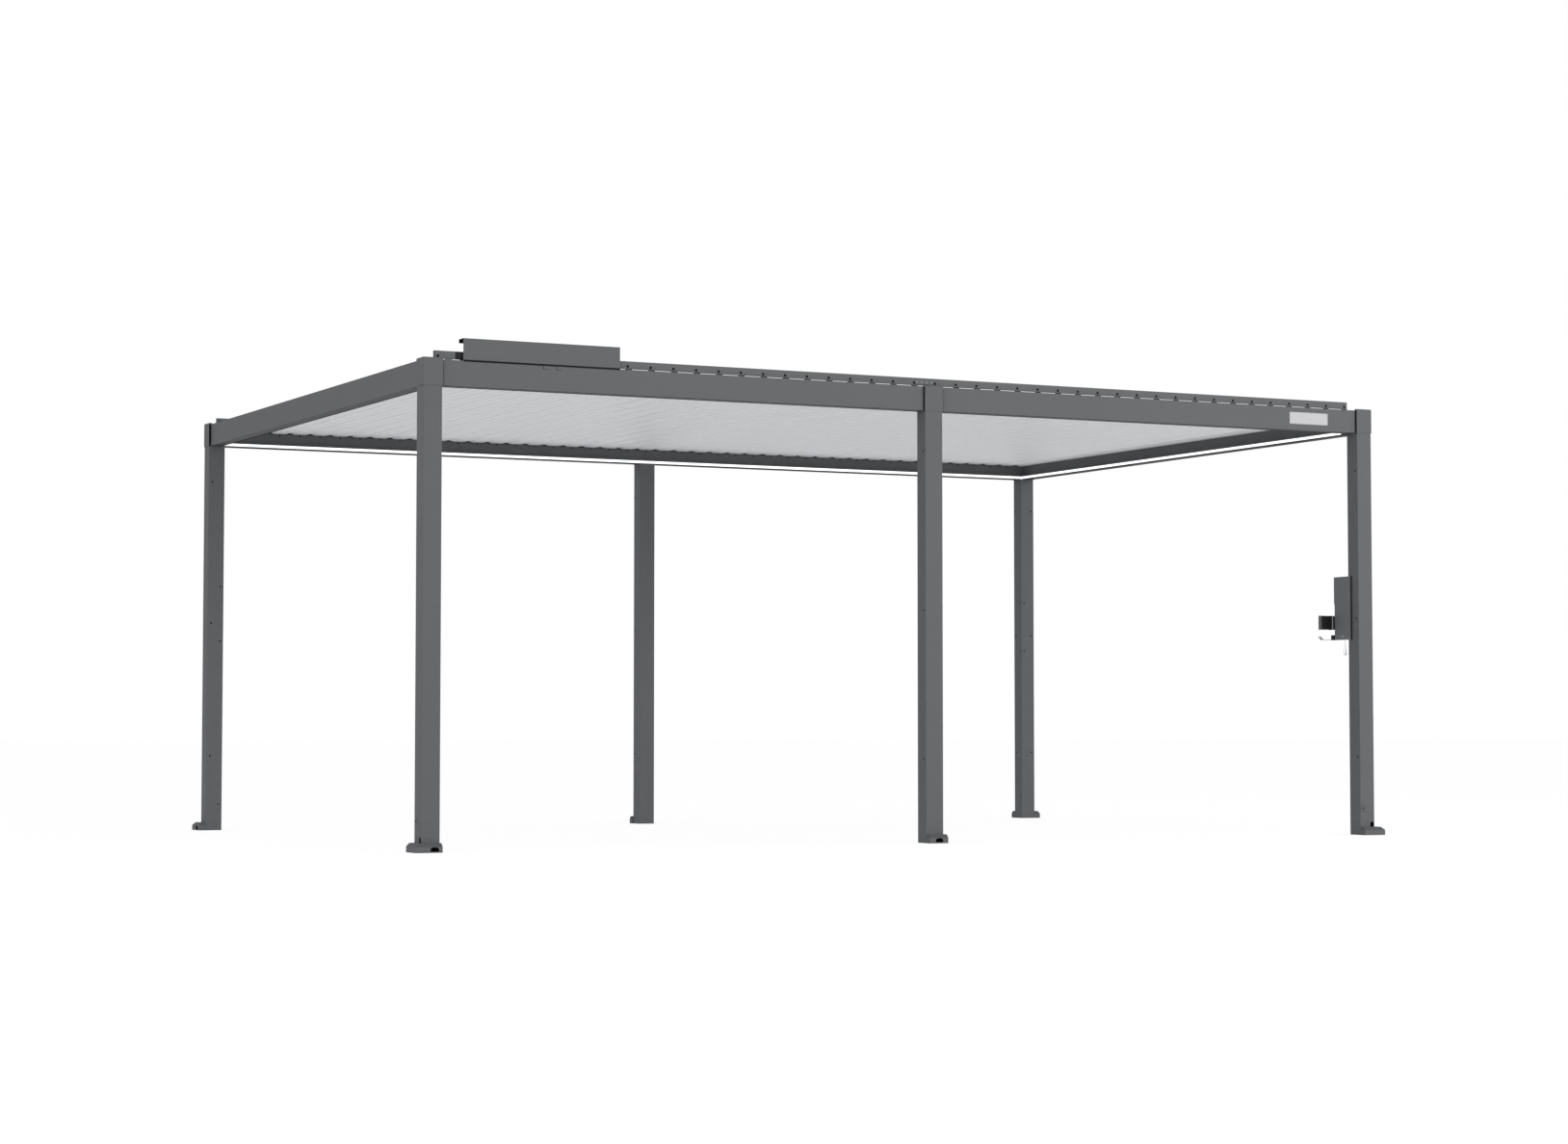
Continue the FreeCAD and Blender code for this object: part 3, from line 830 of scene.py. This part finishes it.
class Stock:
    """Small shapes that the hardware is made from, standing on Z = 0 at the origin."""

    crease = math.radians(35)

    @classmethod
    def turned(cls, profile: list[Span], steps: int) -> bmesh.types.BMesh:
        """A turned shape.

        Args:
            profile: radius and height of each point, from the axis to the axis.
            steps: sides of the shape.

        Returns:
            The mesh.
        """
        mesh = bmesh.new()
        points = [mesh.verts.new((radius, 0.0, height)) for radius, height in profile]
        lines = [mesh.edges.new(pair) for pair in zip(points, points[1:])]
        bmesh.ops.spin(mesh, geom=points + lines, cent=(0, 0, 0), axis=(0, 0, 1),
                       angle=math.tau, steps=steps, use_merge=True)
        bmesh.ops.remove_doubles(mesh, verts=mesh.verts[:], dist=1e-6)
        return cls._smoothed(mesh)

    @classmethod
    def head(cls, radius: float, height: float, shares: list[Span],
             steps: int = 12) -> bmesh.types.BMesh:
        """A turned head, with its section down to the foot in shares of radius and height."""
        return cls.turned([(radius * across, height * up)
                           for across, up in shares + [(1.0, 0.0), (0.0, 0.0)]], steps)

    @classmethod
    def pan_head(cls, radius: float, steps: int = 12) -> bmesh.types.BMesh:
        """A pan head with a round recess."""
        shares = [(0.0, 0.3), (0.3, 0.3), (0.38, 1.0), (0.75, 0.9), (1.0, 0.45)]
        return cls.head(radius, 0.4 * radius, shares, steps)

    @classmethod
    def hexagon(cls, radius: float, base: float, height: float,
                chamfer: float) -> bmesh.types.BMesh:
        """A hexagon head.

        Args:
            radius: over its corners.
            base: height that it starts at.
            height: its own height.
            chamfer: width of the chamfer round its top.

        Returns:
            The mesh.
        """
        mesh = bmesh.new()
        bmesh.ops.create_circle(mesh, cap_ends=True, radius=radius, segments=6,
                                matrix=Matrix.Translation((0, 0, base)))
        raised = bmesh.ops.extrude_face_region(mesh, geom=mesh.faces[:])["geom"]
        top = [item for item in raised if isinstance(item, bmesh.types.BMVert)]
        bmesh.ops.translate(mesh, verts=top, vec=(0, 0, height))
        rim = [edge for edge in mesh.edges
               if all(vert.co.z > base + height / 2 for vert in edge.verts)]
        bmesh.ops.bevel(mesh, geom=rim, offset=chamfer, segments=1, profile=0.5,
                        affect="EDGES", material=-1)
        return cls._smoothed(mesh)

    @classmethod
    def slab(cls, size: Vector, edge: float) -> bmesh.types.BMesh:
        """A slab with rounded edges.

        Args:
            size: its length, width and height.
            edge: radius of its edges.

        Returns:
            The mesh.
        """
        mesh = bmesh.new()
        bmesh.ops.create_cube(mesh, size=1.0, matrix=Matrix.Translation((0, 0, 0.5)))
        bmesh.ops.scale(mesh, vec=size, verts=mesh.verts[:])
        bmesh.ops.bevel(mesh, geom=mesh.edges[:], offset=edge, segments=2, profile=0.5,
                        affect="EDGES", material=-1)
        return cls._smoothed(mesh)

    @classmethod
    def _smoothed(cls, mesh: bmesh.types.BMesh) -> bmesh.types.BMesh:
        """Turn the faces outwards, and shade all but the sharp edges smooth.

        Args:
            mesh: the mesh.

        Returns:
            The same mesh.
        """
        bmesh.ops.recalc_face_normals(mesh, faces=mesh.faces[:])
        for face in mesh.faces:
            face.smooth = True
        for edge in mesh.edges:
            edge.smooth = edge.calc_face_angle(0.0) < cls.crease
        return mesh


class Piece:
    """One new piece: copies of small shapes, joined."""

    def __init__(self, name: str, slot: Slot, finish: bpy.types.Material,
                 body: str = "frame") -> None:
        """Start an empty piece.

        Args:
            name: the piece's name.
            slot: the record's slot that it belongs to; not used.
            finish: its material.
            body: the body it rides on.
        """
        self.name = name
        self.slot = slot
        self.finish = finish
        self.body = body
        self.mesh = bmesh.new()

    def add(self, shape: bmesh.types.BMesh, spots: list[Spot]) -> "Piece":
        """Put a copy of a shape at each spot.

        Args:
            shape: the shape, standing on Z = 0; it is used up.
            spots: the place of each copy and the direction that its top faces.

        Returns:
            The piece itself.
        """
        stamp = bpy.data.meshes.new("stamp")
        shape.to_mesh(stamp)
        for place, facing in spots:
            first = len(self.mesh.verts)
            self.mesh.from_mesh(stamp)
            turn = facing.to_track_quat("Z", "Y").to_matrix().to_4x4()
            bmesh.ops.transform(self.mesh, matrix=Matrix.Translation(place) @ turn,
                                verts=self.mesh.verts[first:])
        bpy.data.meshes.remove(stamp)
        shape.free()
        return self

    def done(self) -> bpy.types.Object:
        """Make the object, and say what it rides on.

        Returns:
            The object.
        """
        data = bpy.data.meshes.new(self.name)
        self.mesh.to_mesh(data)
        self.mesh.free()
        data.materials.append(self.finish)
        made = bpy.data.objects.new(self.name, data)
        bpy.context.scene.collection.objects.link(made)
        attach(made, self.body)
        return made


@dataclass
class Assembly:
    """What all sub-assemblies share."""

    layout: Layout  # the planes to keep to
    finishes: Finishes


@dataclass
class LinkHardware(Assembly):
    """Bolts and rivets on the link rails."""

    flange_radius: float = 0.0074  # of the bolt's flange
    flange_height: float = 0.0014
    head_radius: float = 0.0052  # over the corners of the bolt's head
    head_height: float = 0.003  # of the head, above the flange
    head_chamfer: float = 0.0007  # round the head's top
    rivet_radius: float = 0.0046  # of a splice rivet's dome
    rivet_height: float = 0.0016
    dome: tuple[float, ...] = (0.0, 0.4, 0.8, 1.2, math.pi / 2)  # angles of the points of its section
    rivets_x: tuple[float, ...] = (-0.0935, -0.0639, -0.0342, -0.0026)  # the rivets' places along X
    rivet_z: float = 2.526

    def bolts(self, name: str, side: float) -> bpy.types.Object:
        """The bolts of one rail.

        Args:
            name: the rail's name.
            side: -1 for the front and 1 for the back.

        Returns:
            The piece.
        """
        face = side * (self.layout.rail.y - self.layout.splice)
        spots = [(Vector((x, face, self.layout.pin_z)), Vector((0, side, 0)))
                 for x in self.layout.pins]
        step = self.flange_height / 2
        flange = Stock.head(self.flange_radius, self.flange_height,
                            [(0.0, 1.0), (self.head_radius / self.flange_radius, 1.0),
                             (0.9, 0.7), (1.0, 0.3)])
        head = Stock.hexagon(self.head_radius, step, step + self.head_height, self.head_chamfer)
        piece = Piece(name + "_rail_bolts", Slot.BLACK, self.finishes.bolt, "link_rails")
        return piece.add(flange, spots).add(head, spots).done()

    def rivets(self, name: str, side: float) -> bpy.types.Object:
        """The rivets of one rail's splice plate.

        Args:
            name: the rail's name.
            side: -1 for the front and 1 for the back.

        Returns:
            The piece.
        """
        spots = [(Vector((x, side * self.layout.rail.y, self.rivet_z)), Vector((0, side, 0)))
                 for x in self.rivets_x]
        dome = [(self.rivet_radius * math.sin(turn), self.rivet_height * math.cos(turn))
                for turn in self.dome]
        piece = Piece(name + "_splice_rivets", Slot.PLATE, self.finishes.rivet, "link_rails")
        return piece.add(Stock.turned(dome + [(0.0, 0.0)], 16), spots).done()

    def build(self) -> Made:
        """Make the bolts and the rivets of both rails."""
        return [make(name, side) for make in (self.bolts, self.rivets) for name, side in SIDES]


@dataclass
class PostScrews(Assembly):
    """Black screws in the posts' faces, and a round plate near each corner post's foot."""

    radius: float = 0.0057  # of a screw's head
    height: float = 0.0012
    outer_column: float = 0.023  # from the post's outer corner to the outer column of screws
    inner_column: float = 0.079  # from the post's outer corner to the inner column
    # heights of the screws in the outer column
    outer_heights: tuple[float, ...] = (2.147, 1.274, 0.457)
    inner_heights: tuple[float, ...] = (1.500, 1.164)  # heights of the screws in the inner column
    plate_height: float = 0.1575  # height of the round plate in one outer face of each post
    plate_radius: float = 0.018  # of that plate
    plate_depth: float = 0.0011  # how far the plate stands proud
    seal: float = 0.0011  # how far the seal round the plate reaches past it
    seal_depth: float = 0.00044  # how far the seal stands proud
    small_radius: float = 0.0046  # of the screw in the face opposite the plate

    def _corner(self, right: float, back: float) -> list[Spot]:
        """The screws of one corner post.

        Args:
            right: 1 for the right posts and -1 for the left ones.
            back: 1 for the back posts and -1 for the front ones.

        Returns:
            Their spots.
        """
        outer = self.layout.post
        inner = outer - Vector((self.layout.post_side,) * 3)
        has_box = right > 0 > back
        spots = []
        for column, heights in ((self.outer_column, self.outer_heights),
                                (self.inner_column, self.inner_heights)):
            for z in heights:
                if not (has_box and column == self.inner_column):
                    spots.append((Vector((right * inner.x, back * (outer.y - column), z)),
                                  Vector((-right, 0, 0))))
                spots.append((Vector((right * (outer.x - column), back * inner.y, z)),
                              Vector((0, -back, 0))))
        return spots

    def _middle(self, back: float) -> list[Spot]:
        """The screws of one middle post.

        Args:
            back: 1 for the back post, -1 for the front one.

        Returns:
            The screws' places and directions.
        """
        y = back * (self.layout.post.y - self.outer_column)
        return [(Vector((side * self.layout.middle_post_half, y, z)), Vector((side, 0, 0)))
                for side in SIGNS for z in self.outer_heights]

    def _plates(self) -> list[Spot]:
        """The round plates: one in each corner post, turned from post to post.

        Returns:
            Their spots.
        """
        x, y, z = self.layout.post.x, self.layout.post.y, self.plate_height
        aside = self.inner_column
        return [(Vector((-x, aside - y, z)), Vector((-1, 0, 0))),
                (Vector((x - aside, -y, z)), Vector((0, -1, 0))),
                (Vector((x, y - aside, z)), Vector((1, 0, 0))),
                (Vector((aside - x, y, z)), Vector((0, 1, 0)))]

    def _head(self, radius: float) -> bmesh.types.BMesh:
        """A round head with a recess."""
        shares = [(0.0, 0.2), (0.42, 0.2), (0.5, 1.0), (0.8, 0.85), (1.0, 0.35)]
        return Stock.head(radius, self.height, shares)

    def build(self) -> Made:
        """Make all screws of all posts, and the round plates with their seals.

        Returns:
            The pieces.
        """
        spots = [spot for right in SIGNS for back in SIGNS for spot in self._corner(right, back)]
        spots += [spot for back in SIGNS for spot in self._middle(back)]
        plates = self._plates()
        spots += [(place + facing * self.plate_depth, facing) for place, facing in plates]
        opposite = [(place - facing * self.layout.post_side, -facing)
                    for place, facing in plates]
        disc = Stock.head(self.plate_radius, self.plate_depth,
                          [(0.0, 1.0), (0.93, 1.0), (1.0, 0.5)], 32)
        reach = self.plate_radius + self.seal
        ring = Stock.head(reach, self.seal_depth,
                          [(0.0, 1.0), (1 - 0.3 * self.seal / reach, 1.0), (1.0, 0.5)], 32)
        screws = Piece("post_screws", Slot.BLACK, self.finishes.bolt)
        screws.add(self._head(self.radius), spots).add(self._head(self.small_radius), opposite)
        return [screws.done(),
                Piece("post_plates", Slot.FRAME, self.finishes.cap).add(disc, plates).done(),
                Piece("post_plate_seals", Slot.BLACK,
                      self.finishes.bolt).add(ring, plates).done()]


@dataclass
class GutterGapShades(Assembly):
    """Black dots in the gutter walls, one at each blade's left edge, standing in for the shadow seen
    through the gaps between the blades' end caps.
    """

    radius: float = 0.0045  # of a dot
    height: float = 0.0009  # how far it stands proud
    aside: float = 0.0613  # from the blade's axis back to the plug
    level: float = 2.4562  # the dots' height

    def gap_shades(self, name: str, side: float) -> bpy.types.Object:
        """The dots of one gutter.

        Args:
            name: the gutter's name.
            side: -1 for the front and 1 for the back.

        Returns:
            The piece.
        """
        spots = [(Vector((x - self.aside, side * self.layout.gutter_wall, self.level)),
                  Vector((0, -side, 0))) for x in self.layout.axes]
        # black discs standing in for the shadow seen through the gaps
        shade_dot = Stock.head(self.radius, self.height, [(0.0, 1.0), (0.75, 1.0), (1.0, 0.4)])
        piece = Piece(name + "_gutter_gap_shades", Slot.BLACK, self.finishes.bolt)
        return piece.add(shade_dot, spots).done()

    def build(self) -> Made:
        """Make the dots of the front and the back gutter."""
        return [self.gap_shades(name, side) for name, side in SIDES]


@dataclass
class CapCornerShades(Assembly):
    """Black strips in the corners between the beams and the sides of the post caps, standing in for
    the shade there.
    """

    thickness: float = 0.0025  # how far a strip reaches along the beam
    depth: float = 0.0115  # how far it stands out from the beam
    inset: float = 0.0006  # from the beam's upper and lower edge to the strip's ends
    edge: float = 0.0004  # radius of its edges

    def _spots(self) -> list[Spot]:
        """The middle of each strip's foot on its beam, and the way the beam faces.

        Returns:
            The spots.
        """
        low, high = self.layout.beam_low, self.layout.beam_high
        z = (low.z + high.z) / 2
        half = self.thickness / 2
        corner = self.layout.post.x - self.layout.corner_cap - half
        aside = self.layout.post.y - self.layout.corner_cap - half
        middle = self.layout.middle_cap_half + half
        spots = [(Vector((right * x, back * high.y, z)), Vector((0, back, 0)))
                 for right in SIGNS for back in SIGNS for x in (corner, middle)]
        spots += [(Vector((right * high.x, back * aside, z)), Vector((right, 0, 0)))
                  for right in SIGNS for back in SIGNS]
        return spots

    def build(self) -> Made:
        """Make all the shade strips.

        Returns:
            The piece.
        """
        height = self.layout.beam_high.z - self.layout.beam_low.z - 2 * self.inset
        # a black strip standing in for the shade in the corner
        seal = Stock.slab(Vector((self.thickness, height, self.depth)), self.edge)
        piece = Piece("cap_corner_shades", Slot.BLACK, self.finishes.bolt)
        return [piece.add(seal, self._spots()).done()]


@dataclass
class BoxTrim(Assembly):
    """Black side strip and screw of the control box, and the nameplate's pins."""

    seal: float = 0.0014  # thickness of the black strip along the box's front side
    strip_inset: Span = (0.0003, 0.0005)  # from the box's upright and level edges to the strip's
    strip_edge: float = 0.0005  # radius of its edges
    screw_y: float = -1.838  # the box's screw along Y
    screw_z: float = 1.172
    screw_radius: float = 0.0055  # radius of its head
    pin_radius: float = 0.0022  # radius of the plate's pins
    pin_inset: float = 0.0085  # from the plate's edges to its pins

    def box_side_black(self) -> bpy.types.Object:
        """The black strip along the control box's front side.

        Returns:
            The piece.
        """
        low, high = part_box("control_box")
        size = Vector((high.x - low.x - 2 * self.strip_inset[0],
                       high.z - low.z - 2 * self.strip_inset[1], self.seal))
        place = Vector(((low.x + high.x) / 2, low.y, (low.z + high.z) / 2))
        piece = Piece("box_side_strip", Slot.BLACK, self.finishes.black)
        return piece.add(Stock.slab(size, self.strip_edge), [(place, FRONT)]).done()

    def box_screw(self) -> bpy.types.Object:
        """The bright screw in the control box's face.

        Returns:
            The object.
        """
        spot = (Vector((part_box("control_box")[0].x, self.screw_y, self.screw_z)), LEFT)
        piece = Piece("box_screw", Slot.PLATE, self.finishes.zinc)
        return piece.add(Stock.pan_head(self.screw_radius, 16), [spot]).done()

    def plate_pins(self) -> bpy.types.Object:
        """The pins in the nameplate's corners.

        Returns:
            The piece.
        """
        low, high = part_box("nameplate")
        inset = self.pin_inset
        spots = [(Vector((x, low.y, z)), FRONT) for x in (low.x + inset, high.x - inset)
                 for z in (low.z + inset, high.z - inset)]
        piece = Piece("nameplate_pins", Slot.PLATE, self.finishes.zinc)
        return piece.add(Stock.pan_head(self.pin_radius), spots).done()

    def build(self) -> Made:
        """Make the strip, the screw and the pins."""
        return [self.box_side_black(), self.box_screw(), self.plate_pins()]


@dataclass
class CoverTrim(Assembly):
    """Screw of the drive cover, black strips standing in for the shadows under it and beside its
    tabs, and the filler beside it.
    """

    screw: Span = (-2.459, 2.524)  # the cover's screw along X and up
    screw_radius: float = 0.0034  # radius of its head
    face: float = -1.967  # the cover's face along Y
    under_shadow: Span = (0.0018, 0.0085)  # thickness and height of the black strip of painted shadow under the cover
    under_shadow_low: float = 2.4995  # height of that strip's lower edge
    edge: float = 0.0003  # radius of that strip's and the filler's edges
    tabs: Span = (-2.2915, -2.2175)  # the middles of the cover's two tabs along X
    tab_half: float = 0.0145  # half a tab's width
    tab_low: float = 2.482  # height of the tabs' lower edge
    tab_shadow: float = 0.0006  # thickness of the black strip of painted shadow behind a tab
    tab_shadow_left: float = 0.003  # how far that strip shows beside its tab
    tab_shadow_below: float = 0.0012  # how far it shows under the tab
    tab_shadow_above: float = 0.0005  # from the beam's upper edge to the strip's
    tab_shadow_edge: float = 0.0002  # radius of its edges
    filler: Span = (-2.8465, -2.807)  # the filler's span along X, on the beam left of the cover
    filler_size: Span = (0.002, 0.0058)  # its thickness and height
    filler_back: float = 0.0002  # from the beam's face to the filler's

    def cover_screw(self) -> bpy.types.Object:
        """The small painted screw in the drive cover's face.

        Returns:
            The object.
        """
        spot = (Vector((self.screw[0], self.face, self.screw[1])), FRONT)
        piece = Piece("cover_screw", Slot.FRAME, self.finishes.cap)
        return piece.add(Stock.pan_head(self.screw_radius), [spot]).done()

    def cover_shadow_strips(self) -> bpy.types.Object:
        """Black strips standing in for the shadows under the drive cover's lower edge and beside its
        tabs.

        Returns:
            The piece.
        """
        cover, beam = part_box("motor_cover"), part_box("front_beams")
        thick, tall = self.under_shadow
        place = Vector(((cover[0].x + cover[1].x) / 2, beam[0].y, self.under_shadow_low + tall / 2))
        # black strips standing in for the shadow under the cover and beside its tabs
        under_shadow = Stock.slab(Vector((cover[1].x - cover[0].x, tall, thick)), self.edge)
        low, high = self.tab_low - self.tab_shadow_below, beam[1].z - self.tab_shadow_above
        tab_shadow = Stock.slab(Vector((2 * self.tab_half + self.tab_shadow_left, high - low, self.tab_shadow)),
                         self.tab_shadow_edge)
        tab_shadows = [(Vector((x - self.tab_shadow_left / 2, beam[0].y, (low + high) / 2)), FRONT)
                for x in self.tabs]
        piece = Piece("cover_shadow_strips", Slot.BLACK, self.finishes.bolt)
        return piece.add(under_shadow, [(place, FRONT)]).add(tab_shadow, tab_shadows).done()

    def beam_filler(self) -> bpy.types.Object:
        """The filler on the front beam's upper edge, next to the corner.

        Returns:
            The piece.
        """
        low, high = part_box("front_beams")
        thick, tall = self.filler_size
        left, right = self.filler
        place = Vector(((left + right) / 2, low.y + self.filler_back + thick / 2, high.z))
        filler = Stock.slab(Vector((right - left, thick, tall)), self.edge)
        piece = Piece("beam_filler", Slot.FRAME, self.finishes.cap)
        return piece.add(filler, [(place, UP)]).done()

    def build(self) -> Made:
        """Make the screw, the shadow strips and the filler."""
        return [self.cover_screw(), self.cover_shadow_strips(), self.beam_filler()]


class Dressing(Assembly):
    """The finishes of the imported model's own nodes."""

    def build(self) -> Made:
        """Give every node its finish.

        Returns:
            The nodes.
        """
        look = self.finishes
        by_slot = {Slot.FRAME: look.cap, Slot.RAIL: look.rail, Slot.LOUVER: look.louver,
                   Slot.LIGHT: look.light, Slot.BLACK: look.black, Slot.MOTOR: look.motor,
                   Slot.PLATE: look.plate, Slot.BOX: look.box, Slot.CHROME: look.chrome}
        by_node = {"corner_posts": look.post, "post_feet": look.foot,
                   "front_beams": look.beam, "back_beams": look.beam, "side_beams": look.beam,
                   "motor_cover": look.cover, "box_console": look.console}
        slots = {row["node"]: Slot(row["material_slot"]) for row in frame["record"]["subparts"]}
        for name, node in frame["nodes"].items():
            node.data.materials.clear()
            node.data.materials.append(by_node.get(name, by_slot[slots[name]]))
        return list(frame["nodes"].values())


@dataclass(frozen=True)
class Lamp:
    """A square soft lamp."""

    name: str
    place: Colour
    power: float  # its power, in watts
    target: Colour = (0.0, 0.0, 1.2)  # what it points at
    size: float = 6.0  # its side, in metres

    def build(self) -> None:
        """Put the lamp up."""
        data = bpy.data.lights.new(self.name, "AREA")
        data.size = self.size
        data.energy = self.power
        lamp = bpy.data.objects.new(self.name, data)
        lamp.location = self.place
        aim = Vector(self.target) - Vector(self.place)
        lamp.rotation_euler = aim.to_track_quat("-Z", "Y").to_euler()
        lamp.visible_camera = False
        bpy.context.scene.collection.objects.link(lamp)


@dataclass
class Studio:
    """Camera, floor, lamps and world."""

    lens: float = 71.54  # the camera's focal length, in millimetres
    sensor: float = 36.0  # its sensor's width, in millimetres
    place: Colour = (-8.3688, -16.8772, 0.6280)  # the camera's place, in metres
    yaw: float = 26.5597  # how far it looks to the right of +Y, in degrees
    pitch: float = 2.8667  # how far it looks up, in degrees
    sight: float = 400.0  # how far it sees, in metres
    floor_size: float = 120.0  # half the floor's side
    floor_shade: float = 0.80  # the floor's colour as the object sees it
    floor_glow: float = 0.88  # the plain white in the floor as the camera sees it
    floor_seen: float = 0.17  # the shaded white on top of it, which keeps the shadows
    sky: float = 0.64  # the sky's strength on the object
    lamps: tuple[Lamp, ...] = (Lamp("key", (9.0, -14.0, 4.0), 700.0),
                               Lamp("front_fill", (0.0, -16.0, 4.5), 200.0),
                               Lamp("left_fill", (-12.0, -8.0, 4.0), 210.0))

    def _camera(self) -> None:
        """Put the camera where the photograph was taken from."""
        data = bpy.data.cameras.new("camera")
        data.lens = self.lens
        data.sensor_width = self.sensor
        data.clip_end = self.sight
        camera = bpy.data.objects.new("camera", data)
        camera.location = self.place
        camera.rotation_euler = (math.radians(90 + self.pitch), 0.0, math.radians(-self.yaw))
        bpy.context.scene.collection.objects.link(camera)
        bpy.context.scene.camera = camera

    def _floor(self) -> None:
        """A pale floor, white to the camera, that keeps the shadows."""
        mesh = bmesh.new()
        bmesh.ops.create_grid(mesh, x_segments=1, y_segments=1, size=self.floor_size)
        data = bpy.data.meshes.new("floor")
        mesh.to_mesh(data)
        mesh.free()
        floor = bpy.data.objects.new("floor", data)
        bpy.context.scene.collection.objects.link(floor)
        tree = Tree(bpy.data.materials.new("pale_floor"))
        pale = tree.node("ShaderNodeBsdfDiffuse", {}, {"Color": (self.floor_shade,) * 3})
        shaded = tree.node("ShaderNodeBsdfDiffuse", {}, {"Color": (self.floor_seen,) * 3})
        glow = tree.node("ShaderNodeEmission", {}, {"Strength": self.floor_glow})
        bright = tree.node("ShaderNodeAddShader", {}, {0: shaded, 1: glow})
        tree.close(tree.node("ShaderNodeMixShader", {}, {0: tree.seen(), 1: pale, 2: bright}))
        data.materials.append(tree.owner)

    def _world(self) -> None:
        """An even sky, white to the camera and in reflections."""
        world = bpy.data.worlds.new("world")
        bpy.context.scene.world = world
        tree = Tree(world, "ShaderNodeOutputWorld")
        strength = self.sky + tree.seen() * (1 - self.sky)
        tree.close(tree.node("ShaderNodeBackground", {}, {"Color": (1.0, 1.0, 1.0),
                                                          "Strength": strength}))

    def build(self) -> None:
        """Set the stage."""
        self._camera()
        self._floor()
        self._world()
        for lamp in self.lamps:
            lamp.build()
        bpy.context.scene.view_settings.view_transform = "Standard"


def main() -> None:
    """Build the looks in order."""
    logging.basicConfig(level=logging.INFO)
    layout = Layout.read()
    finishes = Finishes(layout)
    LOG.info("finishes made")
    for kind in (Dressing, LinkHardware, PostScrews, GutterGapShades, CapCornerShades, BoxTrim, CoverTrim):
        for piece in kind(layout, finishes).build():
            LOG.info("%s: %s", kind.__name__, piece.name)
    Studio().build()


if __name__ == "__main__":
    main()
